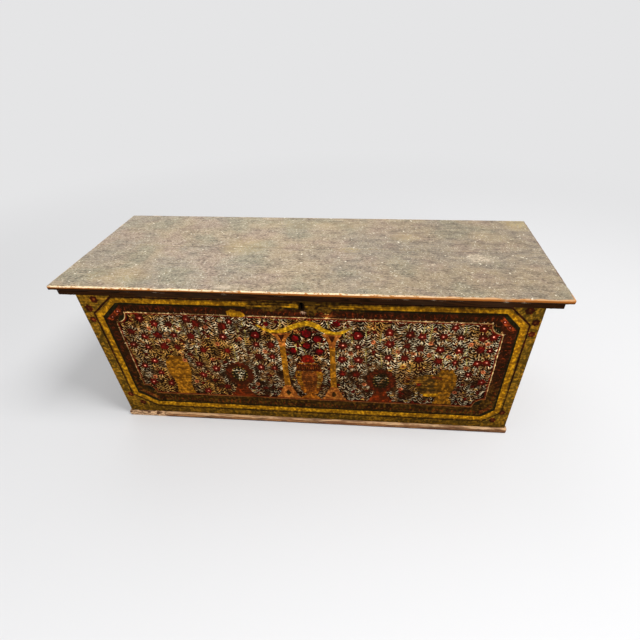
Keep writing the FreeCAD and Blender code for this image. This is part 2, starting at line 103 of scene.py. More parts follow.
# %% Helpers for node trees
def paint(red, green, blue):
    """A colour chart's 0 to 255 values as linear light."""
    shares = [value / 255 for value in (red, green, blue)]
    return tuple(s / 12.92 if s <= 0.04045 else ((s + 0.055) / 1.055) ** 2.4 for s in shares) + (1.0,)


def add(tree, kind, *links, **settings):
    """Adds a node. Settings are its properties, and links pair its sockets with values or with outputs."""
    made = tree.nodes.new(kind)
    for key, value in settings.items():
        setattr(made, key, value)
    for socket, value in links:
        if isinstance(value, bpy.types.NodeSocket):
            tree.links.new(value, made.inputs[socket])
        else:
            made.inputs[socket].default_value = value
    return made


def calc(tree, operation, a, b=0.0):
    """One step of arithmetic. The five steps that we need most have names of their own."""
    return add(tree, "ShaderNodeMath", (0, a), (1, b), operation=operation).outputs[0]


def plus(tree, a, b):
    return calc(tree, "ADD", a, b)


def minus(tree, a, b):
    return calc(tree, "SUBTRACT", a, b)


def times(tree, a, b):
    return calc(tree, "MULTIPLY", a, b)


def lesser(tree, a, b):
    return calc(tree, "MINIMUM", a, b)


def greater(tree, a, b):
    return calc(tree, "MAXIMUM", a, b)


def weighed(tree, *parts):
    """The sum of several values, each times its weight."""
    total = times(tree, *parts[0])
    for part in parts[1:]:
        total = plus(tree, total, times(tree, *part))
    return total


def whereabouts(tree):
    """Where a point lies on the chest: its place, and the place's X, Y and Z."""
    place = add(tree, "ShaderNodeTexCoord").outputs["Object"]
    return place, add(tree, "ShaderNodeSeparateXYZ", (0, place)).outputs


def cloud(tree, place, scale, detail=3.0, stretch=(1, 1, 1)):
    """Noise about 1 / scale metres across, drawn out along the axes whose stretch is small."""
    spread = add(tree, "ShaderNodeMapping", ("Vector", place), ("Scale", stretch)).outputs[0]
    made = add(tree, "ShaderNodeTexNoise", ("Vector", spread), ("Scale", scale), ("Detail", detail))
    return made.outputs["Fac"]


def rise(tree, value, low, high, bottom=0.0, top=1.0):
    """A soft step from bottom to top as the value goes from low to high."""
    made = add(tree, "ShaderNodeMapRange", ("Value", value), ("From Min", low), ("From Max", high),
               ("To Min", bottom), ("To Max", top), interpolation_type="SMOOTHSTEP")
    return made.outputs["Result"]


def mix(tree, share, a, b, blend_type="MIX"):
    """Colour a turned towards colour b by a share."""
    made = add(tree, "ShaderNodeMix", (0, share), (6, a), (7, b), data_type="RGBA", blend_type=blend_type)
    return made.outputs[2]


def group(name, inputs, outputs):
    """A shader node group: its tree, the sockets that come in, and the sockets that go out."""
    tree = bpy.data.node_groups.new(name, "ShaderNodeTree")
    kinds = {1: "NodeSocketFloat", 3: "NodeSocketVector", 4: "NodeSocketColor"}
    for label, value in inputs:
        kind = kinds[1 if isinstance(value, float) else len(value)]
        tree.interface.new_socket(label, in_out="INPUT", socket_type=kind).default_value = value
    for label in outputs:
        kind = "NodeSocketColor" if label == "Color" else "NodeSocketFloat"
        tree.interface.new_socket(label, in_out="OUTPUT", socket_type=kind)
    return tree, add(tree, "NodeGroupInput").outputs, add(tree, "NodeGroupOutput").inputs


def join(tree, ends):
    """Links each value to the socket that it is paired with."""
    for value, socket in ends:
        tree.links.new(value, socket)


print("helpers ready: ochre is", [round(c, 3) for c in paint(185, 145, 35)])

# %% [markdown]
# ## Worn paint
# Every colour on the front has lived through the same two centuries. It is rubbed through to the brown ground
# around the keyhole and along the foot, small flakes have come off, and it has cracked along the joint of the two
# planks. Painted shade darkens it under the lid's edge and towards the foot, and dirt round the lock. That is
# one effect, so it is one node group, and each paint goes into it with its own colours. The pattern is fixed to the
# chest and not to a piece of paint, so a rubbed patch runs across everything it meets.

# %% Places that are worn or dirty, and painted shade
GROUND, GROUND_DARK = paint(96, 66, 18), paint(34, 21, 7)
KEYHOLE_X, KEYHOLE_DEPTH = -1, 62
SCRAPE = ((2, 84), (12.0 * MM, 8.0 * MM))
RUBBED = [((10, 60), (0.28, 0.046), 0.27), ((0, 560), (0.95, 0.050), 0.06), ((410, 372), (0.055, 0.050), 0.16),
          ((-100, 490), (0.60, 0.030), 0.07)]


def oval_mask(tree, split, axes, middle, halves, strength=1.0):
    """A soft oval in two of the axes X, Y and Z: its strength at the middle, and nothing from its rim outwards."""
    square = 0.0
    for axis, centre, half in zip(axes, middle, halves):
        share = calc(tree, "DIVIDE", minus(tree, split[axis], centre), half)
        square = plus(tree, square, times(tree, share, share))
    return rise(tree, square, 0.0, 1.0, strength, 0.0)


def front_oval(tree, split, place, halves, strength=1.0):
    """An oval about a place on the front, which is measured as the paint is."""
    middle = at(*place)
    return oval_mask(tree, split, "XZ", (middle.x, middle.z), halves, strength)


def wear_mask(tree, split, broad, patchy, fibre, wear):
    """1 where the coat is gone: where the noise and the rubbed places together pass a limit."""
    field = weighed(tree, (broad, 0.3), (patchy, 0.4), (fibre, 0.3))
    for place, halves, strength in RUBBED:
        field = plus(tree, field, front_oval(tree, split, place, halves, strength))
    limit = minus(tree, 0.80, times(tree, wear, 0.35))
    return rise(tree, minus(tree, field, limit), -0.035, 0.035)


def shade_and_dirt_mask(tree, split, patchy):
    """Painted shade under the lid, thickest in the right half, and towards the foot; dirt where hands held the lock.
    """
    # Painted shade below the lid's overhang, deeper in the right half, and towards the foot.
    under_lid = rise(tree, plus(tree, split["Z"], times(tree, patchy, 18.0 * MM)), at(0, 82).z + 9.0 * MM,
                     at(0, 36).z + 9.0 * MM)
    thick = times(tree, rise(tree, split["X"], -0.42, 0.10, 0.04, 0.74), rise(tree, split["X"], 0.56, 0.68, 1.0, 0.40))
    foot = rise(tree, plus(tree, split["Z"], times(tree, patchy, 40.0 * MM)), at(0, 545).z, at(0, 490).z, 0.50, 0.0)
    lock = front_oval(tree, split, (KEYHOLE_X, KEYHOLE_DEPTH), (13.0 * MM, 21.0 * MM))
    darkening = greater(tree, times(tree, under_lid, thick), foot)
    return greater(tree, darkening, rise(tree, lock, 0.0, 0.5))


def crack_mask(tree, place, split):
    """Cracks: a wavering one along the joint of the two planks, and short ones along the grain."""
    sway = times(tree, minus(tree, cloud(tree, place, 22.0, 3.0), 0.5), 3.0 * MM)
    off_joint = calc(tree, "ABSOLUTE", plus(tree, minus(tree, split["Z"], PLANK_JOINT_Z), sway))
    along_joint = rise(tree, off_joint, 0.3 * MM, 1.1 * MM, 0.75, 0.0)
    shakes = rise(tree, cloud(tree, place, 5.0, 2.0, (1.0, 1.0, 34.0)), 0.70, 0.73, 0.0, 0.6)
    return greater(tree, along_joint, shakes)


print(len(RUBBED), "rubbed places")

# %% [markdown]
# The group takes the two colours of a paint and three amounts, for wear, dirt and mottling. It mixes the colours as
# a brush would, and then lays the worn, dirty and cracked places and the painted shade over them.

# %% The worn paint group
def brushed_coat(tree, given, patchy, fibre, mottle):
    """The two given colours in clouds and brush marks, with blots that are darker or paler than both."""
    tone = mix(tree, rise(tree, patchy, 0.36, 0.66), given["Paint"], given["Shade"])
    tone = mix(tree, rise(tree, fibre, 0.42, 0.60, 0.0, 0.70), tone, given["Shade"])
    darker = mix(tree, 0.5, given["Shade"], GROUND_DARK)
    lighter = mix(tree, 0.70, given["Paint"], given["Paint"], "ADD")
    tone = mix(tree, times(tree, rise(tree, mottle, 0.50, 0.62), given["Mottle"]), tone, darker)
    return mix(tree, times(tree, rise(tree, mottle, 0.47, 0.36), given["Mottle"]), tone, lighter)


def worn_paint_group():
    tree, given, out = group("worn paint", [("Paint", paint(120, 100, 40)), ("Shade", paint(80, 70, 30)),
                                            ("Wear", 0.3), ("Dirt", 0.4), ("Mottle", 0.7)],
                             ["Color", "Roughness", "Height"])
    place, split = whereabouts(tree)
    broad = cloud(tree, place, 7.0, 2.0)
    patchy = cloud(tree, place, 38.0, 4.0)
    mottle = cloud(tree, place, 95.0, 4.0)
    speck = cloud(tree, place, 310.0, 3.0)
    fibre = cloud(tree, place, 10.0, 5.0, (1.0, 1.0, 30.0))
    worn = wear_mask(tree, split, broad, patchy, fibre, given["Wear"])
    flecked = weighed(tree, (fibre, 0.5), (mottle, 0.5))
    ground = mix(tree, rise(tree, flecked, 0.44, 0.56), GROUND, GROUND_DARK)
    colour = mix(tree, worn, brushed_coat(tree, given, patchy, fibre, mottle), ground)
    dirt = times(tree, rise(tree, plus(tree, broad, speck), 0.85, 1.25), given["Dirt"])
    colour = mix(tree, dirt, colour, GROUND_DARK)
    # Painted shade under the lid and towards the foot, and dirt round the lock, in near black.
    colour = mix(tree, shade_and_dirt_mask(tree, split, patchy), colour, paint(18, 10, 4))
    scrape = front_oval(tree, split, *SCRAPE)
    colour = mix(tree, times(tree, scrape, rise(tree, speck, 0.44, 0.56)), colour, paint(170, 136, 108))
    cracks = crack_mask(tree, place, split)
    colour = mix(tree, cracks, colour, paint(20, 12, 6))
    rough = rise(tree, plus(tree, speck, worn), 0.3, 1.6, 0.46, 0.80)
    height = weighed(tree, (speck, 0.25), (worn, -0.35), (fibre, 0.35))
    join(tree, [(colour, out["Color"]), (rough, out["Roughness"]), (minus(tree, height, cracks), out["Height"])])
    return tree


WORN_PAINT = worn_paint_group()
print("worn paint group has", len(WORN_PAINT.nodes), "nodes")

# %% [markdown]
# ## Bare wood
# Where there is no paint we see softwood, sawn along its grain. Its dark and pale stripes are noise drawn out
# along the plank, and its growth rings are a slow noise cut into steps, each with a dark rim of late wood. Planks of
# the front run from left to right and planks of the ends from front to back, so the direction of the stripes comes
# in as an input.

# %% The bare wood group
ALONG_X, ALONG_Y = (1.0, 14.0, 22.0), (14.0, 1.0, 22.0)
RINGS = 17.0


def bare_wood_group():
    tree, given, out = group("bare wood", [("Pale", paint(190, 145, 95)), ("Dark", paint(120, 80, 45)),
                                           ("Grime", 0.3), ("Grain", ALONG_X)],
                             ["Color", "Roughness", "Height"])
    place = add(tree, "ShaderNodeTexCoord").outputs["Object"]
    spread = add(tree, "ShaderNodeVectorMath", (0, place), (1, given["Grain"]), operation="MULTIPLY").outputs[0]
    stripes = weighed(tree, (cloud(tree, spread, 3.0, 5.0), 0.55), (cloud(tree, spread, 26.0, 3.0), 0.45))
    colour = mix(tree, rise(tree, stripes, 0.38, 0.64, 0.0, 0.8), given["Pale"], given["Dark"])
    rings = times(tree, cloud(tree, spread, 1.5, 1.0), RINGS)
    ring = minus(tree, rings, calc(tree, "FLOOR", rings))
    late_wood = times(tree, rise(tree, ring, 0.35, 0.90, 0.0, 0.75), rise(tree, ring, 0.92, 1.0, 1.0, 0.0))
    colour = mix(tree, late_wood, colour, given["Dark"])
    stain = times(tree, rise(tree, cloud(tree, place, 6.0, 4.0), 0.42, 0.66), given["Grime"])
    colour = mix(tree, stain, colour, paint(52, 38, 26))
    pore = rise(tree, cloud(tree, spread, 70.0, 2.0), 0.60, 0.70, 0.0, 0.45)
    colour = mix(tree, pore, colour, paint(44, 28, 16))
    rough = rise(tree, stripes, 0.3, 0.7, 0.62, 0.82)
    height = weighed(tree, (stripes, 1.0), (pore, -0.6), (late_wood, 0.25))
    join(tree, [(colour, out["Color"]), (rough, out["Roughness"]), (height, out["Height"])])
    return tree


BARE_WOOD = bare_wood_group()
print("bare wood group has", len(BARE_WOOD.nodes), "nodes")

# %% [markdown]
# A material is then only a choice: which group, with which colours, and how deep its relief is. The shader itself
# stays in the material, and numbers that hold for the whole surface are set straight on it.

# %% Building a material
PAINT_GLOSS = 0.005


def material(name):
    """An empty material, with its tree and its shader."""
    made = bpy.data.materials.new(name)
    made.use_nodes = True
    return made, made.node_tree, made.node_tree.nodes["Principled BSDF"]


def surface(tree, shader, colour, rough, height, depth, gloss=PAINT_GLOSS):
    """Feeds the shader, and makes a relief of the given depth out of the height."""
    bump = add(tree, "ShaderNodeBump", ("Height", height), ("Distance", depth), ("Strength", 0.6))
    join(tree, [(colour, shader.inputs["Base Color"]), (rough, shader.inputs["Roughness"]),
                (bump.outputs[0], shader.inputs["Normal"])])
    shader.inputs["Specular IOR Level"].default_value = gloss


def use_group(tree, made_group, **values):
    """Places a group in a material, with its own values, and returns what comes out of it."""
    return add(tree, "ShaderNodeGroup", *values.items(), node_tree=made_group).outputs


def painted(name, colour, shade, wear=0.3, dirt=0.4, foot=None):
    """One colour of the front, worn as all of them are. It may turn into another one towards the foot."""
    made, tree, shader = material(name)
    colour, shade = paint(*colour), paint(*shade)
    if foot:
        height = whereabouts(tree)[1]["Z"]
        colour = mix(tree, rise(tree, height, at(0, 440).z, at(0, 300).z), paint(*foot), colour)
    worn = use_group(tree, WORN_PAINT, Paint=colour, Shade=shade, Wear=wear, Dirt=dirt)
    surface(tree, shader, worn["Color"], worn["Roughness"], worn["Height"], 0.3 * MM)
    return made


OLIVE_PAINT, OLIVE_SHADE = paint(132, 92, 21), paint(80, 59, 15)
OCHRE = painted("ochre", (168, 118, 16), (124, 80, 10), 0.28, 0.35)
BRIGHT_OCHRE = painted("bright ochre", (190, 142, 22), (142, 100, 14), 0.26, 0.30)
DULL_OCHRE = painted("dull ochre", (150, 96, 18), (104, 62, 10), 0.30, 0.45)
DARK_OCHRE = painted("dark ochre", (124, 78, 14), (74, 46, 8), 0.34, 0.55)
RED_BROWN = painted("red brown", (54, 21, 8), (25, 12, 5), 0.34, 0.45, foot=(66, 43, 10))
GREEN_BLACK = painted("green black", (26, 24, 10), (14, 14, 6), 0.30, 0.30)
FIELD = painted("panel black", (32, 11, 5), (15, 7, 3), 0.26, 0.30)
ORANGE = painted("orange", (150, 84, 18), (98, 48, 9), 0.28, 0.50)
RUST = painted("rust red", (112, 38, 9), (66, 22, 6), 0.30, 0.50)
CREAM = painted("cream", (222, 184, 122), (130, 84, 42), 0.62, 0.50, foot=(100, 46, 16))
LINE_RED = painted("line red", (118, 22, 8), (80, 14, 6), 0.24, 0.35, foot=(84, 36, 12))
print("paints for the front:", len([m for m in bpy.data.materials if m.use_nodes]))

# %% [markdown]
# ## Planks that are painted on one side only
# A front plank is painted on its face and bare behind. An end plank shows its face at the chest's end and the
# tips of its dovetails at the front. So the planks of the case share one kind of material, which asks where a
# point lies: on the front or the end plane it takes the worn olive paint, and anywhere else the bare wood.

# %% Case planks
LOCK_HOLE_DEPTH = (30.0 * MM, 36.0 * MM)


def on_plane(tree, split, axis, place, outwards):
    """1 on the chest's outer plane, and 0 from half a millimetre inside it."""
    out = times(tree, minus(tree, split[axis], place), outwards)
    return rise(tree, out, -0.6 * MM, -0.3 * MM)


def plank_material(name, grain, pale, dark, darkening):
    """Olive paint on the chest's outer planes, bare wood elsewhere, painted shade and grease in the keyhole's walls.
    """
    made, tree, shader = material(name)
    wood = use_group(tree, BARE_WOOD, Pale=pale, Dark=dark, Grime=darkening, Grain=grain)
    split = whereabouts(tree)[1]
    front = on_plane(tree, split, "Y", FRONT_Y, -1.0)
    outside = greater(tree, greater(tree, front, on_plane(tree, split, "X", CASE_RIGHT, 1.0)),
                      on_plane(tree, split, "X", -CASE_RIGHT, -1.0))
    coat = use_group(tree, WORN_PAINT, Paint=OLIVE_PAINT, Shade=OLIVE_SHADE, Wear=0.35, Dirt=0.45,
                     Mottle=rise(tree, front, 0.0, 1.0, 0.16, 0.70))
    start, end = [FRONT_Y + depth for depth in LOCK_HOLE_DEPTH]
    # The keyhole's walls are near black: painted shade inside the hole, with grease.
    hole = front_oval(tree, split, (KEYHOLE_X, KEYHOLE_DEPTH), (22.0 * MM, 34.0 * MM))
    keyhole_shade_and_grease = times(tree, rise(tree, hole, 0.0, 0.4), rise(tree, split["Y"], start, end, 1.0, 0.0))
    colour = mix(tree, outside, mix(tree, keyhole_shade_and_grease, wood["Color"], paint(7, 5, 3)), coat["Color"])
    rough = rise(tree, outside, 0.0, 1.0, 0.75, 0.60)
    height = weighed(tree, (wood["Height"], 0.7), (coat["Height"], 0.3))
    surface(tree, shader, colour, rough, height, 0.5 * MM)
    return made


def dress(finish, *names):
    """Gives CAD nodes their finish."""
    for name in names:
        nodes[name].data.materials.clear()
        nodes[name].data.materials.append(finish)


PINE_PALE, PINE_DARK = paint(196, 152, 98), paint(128, 84, 46)
front_wood = plank_material("front planks", ALONG_X, PINE_PALE, PINE_DARK, 0.32)
end_wood = plank_material("end planks", ALONG_Y, PINE_PALE, PINE_DARK, 0.32)
back_wood = plank_material("back planks", ALONG_X, paint(150, 122, 88), paint(92, 68, 46), 0.45)
dress(front_wood, "front_plank_lower", "front_plank_upper")
dress(back_wood, "back_plank_lower", "back_plank_upper")
dress(end_wood, *[side + "_end_plank_" + tier for side in ("left", "right") for tier in ("lower", "upper")])
print("case planks dressed")

# %% [markdown]
# ## Paint as thin solids
# A stroke of old paint stands a little proud of the wood. So each painted shape is a closed sheet, filled on the
# front, with a rim that goes back to the plank. We need three outlines again and again: one moved inwards by a
# set width, one cut into short steps, and one with the small tremble of a hand.

# %% Outlines
def inset(points, distance):
    """A closed outline moved inwards, with its corners kept sharp. Points run clockwise as seen on the chest."""
    moved = []
    for before, here, after in zip(points[-1:] + points[:-1], points, points[1:] + points[:1]):
        one = (Vector(here) - Vector(before)).normalized()
        two = (Vector(after) - Vector(here)).normalized()
        inwards = Vector((-one.y, one.x)) + Vector((-two.y, two.x))
        moved.append(tuple(Vector(here) + inwards * (distance / (inwards.length_squared / 2))))
    return moved


def stepped(*lines, step=9.0, closed=True):
    """Lines of as many corners each, cut alike into steps. They stay matched, point by point."""
    made = [[] for line in lines]
    for i in range(0 if closed else 1, len(lines[0])):
        parts = max(1, round(math.dist(lines[0][i - 1], lines[0][i]) / step))
        for line, longer in zip(lines, made):
            longer += [tuple(Vector(line[i - 1]).lerp(Vector(line[i]), k / parts)) for k in range(parts)]
    return made if closed else [longer + line[-1:] for line, longer in zip(lines, made)]


def trembled(points, amount=1.2, reach=30.0, seed=0):
    """The outline as a hand paints it: each point strays by up to about the amount, and its neighbours with it."""
    strayed = []
    for x, depth in points:
        place = Vector((x / reach, depth / reach, seed * 7.3))
        strayed.append((x + amount * noise.noise(place), depth + amount * noise.noise(place + Vector((0, 0, 3.1)))))
    return strayed


def rounded(points, parts=5, closed=True):
    """A smooth line through a few points."""
    made = []
    count = len(points)
    for i in range(count if closed else count - 1):
        four = [(i + k) % count if closed else min(max(i + k, 0), count - 1) for k in (-1, 0, 1, 2)]
        a, b, c, d = [Vector(points[k]) for k in four]
        for k in range(parts):
            t = k / parts
            spot = 0.5 * (2 * b + (c - a) * t + (2 * a - 5 * b + 4 * c - d) * t * t + (3 * b - a - 3 * c + d) * t ** 3)
            made.append(tuple(spot))
    return made if closed else made + [tuple(points[-1])]


print("outlines ready")

# %% [markdown]
# The sheets themselves: a patch fills one outline, and a band fills the space between two outlines that have the
# same number of points. A piece may hold several sheets. Every piece then rides on a body of the chest.

# %% Patches and bands
def finished(name, mesh, finish, body="case"):
    """Puts a mesh in the scene with its finish, on its body."""
    made = bpy.data.objects.new(name, mesh)
    mesh.materials.clear()
    mesh.materials.append(finish)
    bpy.context.scene.collection.objects.link(made)
    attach(made, body)
    return made


def closed_mesh(name, build):
    """A mesh that the given function builds, with its faces turned outwards."""
    sheet = bmesh.new()
    build(sheet)
    bmesh.ops.recalc_face_normals(sheet, faces=sheet.faces)
    bmesh.ops.triangulate(sheet, faces=sheet.faces)
    made = bpy.data.meshes.new(name)
    sheet.to_mesh(made)
    sheet.free()
    return made


def patch(name, outlines, layer, finish):
    """Sheets of paint inside closed outlines of (x, depth) points."""
    def build(sheet):
        for outline in outlines:
            top = [sheet.verts.new(at(x, depth, layer)) for x, depth in outline]
            foot = [sheet.verts.new(at(x, depth)) for x, depth in outline]
            sheet.faces.new(top)
            sheet.faces.new(foot[::-1])
            for i in range(len(top)):
                sheet.faces.new((top[i - 1], foot[i - 1], foot[i], top[i]))
    return finished(name, closed_mesh(name, build), finish)


def band(name, pairs, layer, finish, closed=True):
    """Sheets of paint between two outlines of as many points. An open band has square ends."""
    def build(sheet):
        for outer, inner in pairs:
            rims = [[sheet.verts.new(at(x, depth, level)) for x, depth in line]
                    for line, level in ((outer, layer), (inner, layer), (inner, 0), (outer, 0))]
            for i in range(0 if closed else 1, len(outer)):
                for side in range(4):
                    one, two = rims[side], rims[(side + 1) % 4]
                    sheet.faces.new((one[i - 1], one[i], two[i], two[i - 1]))
            if not closed:
                sheet.faces.new([rim[0] for rim in rims])
                sheet.faces.new([rim[-1] for rim in rims][::-1])
    return finished(name, closed_mesh(name, build), finish)


print("patches and bands ready")

# %% [markdown]
# ## The ochre frame and its borders
# One outline with cut corners sets out everything: the red-brown line outside, the ochre band, a green-black line
# and the red-brown border are all the same outline, moved inwards. The bands stop on both sides of the keyhole,
# where hands and keys have rubbed the paint away, so that the hole stays open.

# %% Frame
FRAME = [(-616, 53), (632, 51), (695, 108), (695, 490), (640, 535), (-608, 534), (-690, 480), (-690, 114)]
KEYHOLE_HALF, KEYHOLE_FOOT = 7, 72
BANDS = {"frame_outline": (-10, -4, RED_BROWN, 2), "ochre_frame": (0, 18, OCHRE, 3),
         "frame_inner_line": (18, 25, GREEN_BLACK, 2), "frame_border": (25, 50, RED_BROWN, 5.4)}


def framed(distance):
    """The frame's outline moved inwards. Along the top, the bands are squeezed together a little."""
    squeeze = min(4.0, max(0.0, 0.25 * distance))
    return [(x, depth - squeeze) if k < 2 else (x, depth) for k, (x, depth) in enumerate(inset(FRAME, distance))]


def round_from_keyhole(distance):
    """The frame's outline at a distance inwards, from just right of the keyhole all the way to its left."""
    moved = framed(distance)
    top = moved[0][1]
    return [(KEYHOLE_X + KEYHOLE_HALF, top)] + moved[1:] + [moved[0], (KEYHOLE_X - KEYHOLE_HALF, top)]


for name, (outer, inner, finish, layer) in BANDS.items():
    edges = stepped(round_from_keyhole(outer), round_from_keyhole(inner), closed=False)
    band(name, [[trembled(edge, seed=k) for k, edge in enumerate(edges)]], layer, finish, closed=False)
    print(name, "from", outer, "to", inner, "mm inside the frame's outline, in", len(edges[0]), "steps")

# %% [markdown]
# Inside the frame lies the dark panel. It is laid in two sheets: a red-brown one under everything, with a notch
# that leaves the keyhole free, and the panel itself, whose corners are scooped out. A cream line and a red line
# follow the panel's edge, and a black crescent fills each scoop. At each cut corner the border turns into two bars,
# one nearly black and one red.

# %% Panel
PANEL = {"left": -631, "top": 105, "right": 630, "bottom": 467}
SCOOP = 40
SCOOPS = (("right", "top", 180), ("right", "bottom", 90), ("left", "bottom", 0), ("left", "top", 270))


def around(centre, turn, half_wide, half_high=None):
    """The point of an oval about a centre, at a turn in radians from its right."""
    return (centre[0] + half_wide * math.cos(turn), centre[1] + (half_high or half_wide) * math.sin(turn))


def panel_outline(inwards=0.0, parts=7):
    """The panel's edge with its four scooped corners, moved inwards."""
    made = []
    radius = SCOOP + inwards
    slack = math.degrees(math.asin(inwards / radius))
    for side, level, start in SCOOPS:
        for k in range(parts + 1):
            turn = math.radians(start + slack + (90 - 2 * slack) * k / parts)
            made.append(around((PANEL[side], PANEL[level]), -turn, radius))
    return made


def keyhole_notch(line, foot):
    """A closed outline from an open one that runs round from the keyhole, stepping down under the keyhole."""
    return line + [(line[-1][0], foot), (line[0][0], foot)]


under = stepped(round_from_keyhole(24), step=12.0, closed=False)[0]
patch("panel_under", [keyhole_notch(under, KEYHOLE_FOOT)], 1, RED_BROWN)
patch("panel_field", [trembled(panel_outline(), 0.8)], 3, FIELD)
PANEL_LINES = {"panel_cream_line": (-3.4, -0.6, CREAM), "panel_red_line": (0.5, 4.0, LINE_RED)}
for name, (outer, inner, finish) in PANEL_LINES.items():
    edges = stepped(panel_outline(outer), panel_outline(inner), step=14.0)
    band(name, [[trembled(edge, 1.0, seed=2) for edge in edges]], 6.4, finish)
print("panel is", PANEL["right"] - PANEL["left"], "by", PANEL["bottom"] - PANEL["top"], "mm")

# %% [markdown]
# The bars and the crescents are bands as well. A bar runs straight along a cut corner between two moved copies of
# the frame's outline, and a crescent lies between two arcs, of which one swells in its middle.

# %% Corner bars
def corner_bars(outer, inner, trim):
    """The strips along the frame's four cut corners, between two distances inwards."""
    strips = []
    outer_line, inner_line = framed(outer), framed(inner)
    for start in (1, 3, 5, 7):
        end = (start + 1) % len(FRAME)
        strip = []
        for line in (outer_line, inner_line):
            here, there = Vector(line[start]), Vector(line[end])
            strip.append([tuple(here.lerp(there, trim + (1 - 2 * trim) * k / 6)) for k in range(7)])
        strips.append([trembled(edge, 1.0) for edge in strip])
    return strips


CORNER_RED = painted("corner red", (138, 54, 20), (80, 28, 10), 0.32, 0.45, foot=(100, 62, 20))
band("corner_dark_bars", corner_bars(18, 31, 0.0), 5.6, GREEN_BLACK, closed=False)
band("corner_red_bars", corner_bars(32, 47, -0.06), 5.7, CORNER_RED, closed=False)


def crescents(reach, thick, parts=10):
    """A crescent inside each scoop of the panel, from its two arcs."""
    made = []
    for side, level, start in SCOOPS:
        arcs = [[], []]
        for k in range(parts + 1):
            turn = math.radians(start + 8 + 74 * k / parts)
            for arc, radius in zip(arcs, (reach, reach - 1 - thick * math.sin(math.pi * k / parts))):
                arc.append(around((PANEL[side], PANEL[level]), -turn, radius))
        made.append(arcs)
    return made


band("scoop_crescents", crescents(36.5, 15), 5.5, GREEN_BLACK, closed=False)
print("eight corner bars and four crescents")

# %% [markdown]
# ## The arch, its columns and the urn
# Each of these is symmetrical, so half of its outline is enough: a list of rows, each a depth and half a width.
# Smooth curves are drawn through a few points. The arch is one long brush stroke that swells and thins.

# %% Arch, columns and urn
def silhouette(centre, rows, parts=4):
    """The outline of a turned shape about an upright axis, from rows of (depth, half width)."""
    right = rounded([(centre + half, depth) for depth, half in rows], parts, closed=False)
    left = rounded([(centre - half, depth) for depth, half in rows], parts, closed=False)
    return right + left[::-1]


def stroke(points, widths):
    """The two edges of a brush stroke along a line of points, with a width at each."""
    line = rounded(points, 6, closed=False)
    wide = [spot[0] for spot in rounded([(w, 0) for w in widths], 6, closed=False)]
    edges = [[], []]
    for i, here in enumerate(line):
        along = Vector(line[min(i + 1, len(line) - 1)]) - Vector(line[max(i - 1, 0)])
        across = Vector((-along.y, along.x)).normalized() * wide[i] / 2
        edges[0].append(tuple(Vector(here) - across))
        edges[1].append(tuple(Vector(here) + across))
    return edges


def strokes(name, lines, widths, layer, finish):
    """Brush strokes that all have the same widths along them."""
    band(name, [stroke(line, widths) for line in lines], layer, finish, closed=False)


ARCH = [(-158, 136), (-126, 155), (-98, 161), (-68, 154), (-36, 139), (-4, 127), (18, 125), (42, 134),
        (66, 151), (92, 160), (120, 157), (154, 138)]
ARCH_WIDTHS = [4, 11, 15, 16, 17, 18, 19, 18, 16, 14, 12, 4]
COLUMNS = (-79, 90)
SHAFT = [(212, 10), (240, 9.5), (380, 10.5), (404, 11)]
CAPITAL = [(164, 33), (169, 31), (188, 17), (208, 11), (216, 12), (220, 11)]
PLINTH = [(400, 12), (408, 15), (424, 24), (446, 33), (456, 42), (465, 46)]
URN = 4
FINIAL = [(254, 5), (258, 15), (264, 20), (270, 15), (274, 22), (282, 24), (288, 18)]
URN_LIP = [(290, 30), (292, 36), (295, 36)]
URN_NECK = [(297, 36), (302, 43), (316, 43), (326, 47)]
URN_BODY = [(328, 47), (345, 49), (370, 47), (400, 39), (425, 30), (438, 26)]
URN_CORE = [(331, 22), (350, 27), (376, 26), (402, 19), (428, 11)]
URN_FOOT = [(438, 15), (446, 20), (456, 33), (465, 40)]

strokes("arch", [ARCH], ARCH_WIDTHS, 6, BRIGHT_OCHRE)
patch("column_shafts", [silhouette(c, SHAFT, 8) for c in COLUMNS], 5.9, DULL_OCHRE)
PEACH = painted("peach", (176, 106, 40), (116, 58, 18), 0.30, 0.50, foot=(150, 90, 34))
patch("column_ends", [silhouette(c, rows) for c in COLUMNS for rows in (CAPITAL, PLINTH)], 6, PEACH)
heart = [(172, 12), (186, 6), (198, 1)]
diamond = [(422, 1), (438, 9), (452, 1)]
patch("column_marks", [silhouette(c, rows) for c in COLUMNS for rows in (heart, diamond)], 7, RED_BROWN)
patch("urn_body", [silhouette(URN, URN_BODY)], 5.4, ORANGE)
patch("urn_shoulders", [[(URN + s * x, d) for x, d in ((46, 331), (27, 331), (30, 360), (24, 400), (34, 404),
                                                     (44, 372), (48, 345))] for s in (-1, 1)], 6, DULL_OCHRE)
URN_BROWN = painted("urn brown", (120, 58, 22), (68, 32, 10), 0.30, 0.45)
WREATH_BROWN = painted("wreath brown", (78, 26, 9), (42, 15, 6), 0.30, 0.40)
patch("urn_neck", [silhouette(URN, URN_NECK)], 6, WREATH_BROWN)
patch("urn_core", [silhouette(URN, URN_CORE)], 6, URN_BROWN)
patch("urn_finial", [silhouette(URN, FINIAL)], 6, LINE_RED)
patch("urn_lip", [silhouette(URN, URN_LIP)], 6, ORANGE)
patch("urn_foot", [silhouette(URN, URN_FOOT)], 6, ORANGE)
print("arch, two columns and an urn")

# %% [markdown]
# ## Wreaths and vases
# The two wreaths are rings of leaves on a broad foot. Their lobes come from a cosine around an oval. The two vases
# are plain ochre, brushed sideways.

# %% Wreaths and vases
WREATHS = ((-249, 354), (258, 360))
WREATH_FOOT = [(404, 18), (412, 19), (440, 32), (456, 42), (465, 46)]
WREATH_LOBES = 16
LEFT_VASE = [(281, 25), (288, 23), (300, 33), (314, 42), (340, 43), (362, 42), (380, 36), (398, 30), (420, 29),
             (440, 30), (452, 33), (464, 35)]
RIGHT_VASE = [(296, 27), (304, 23), (316, 31), (332, 36), (352, 38), (372, 37), (390, 32), (408, 25), (424, 24),
              (440, 28), (458, 34), (471, 37)]
VASES = ((-472, LEFT_VASE), (482, RIGHT_VASE))


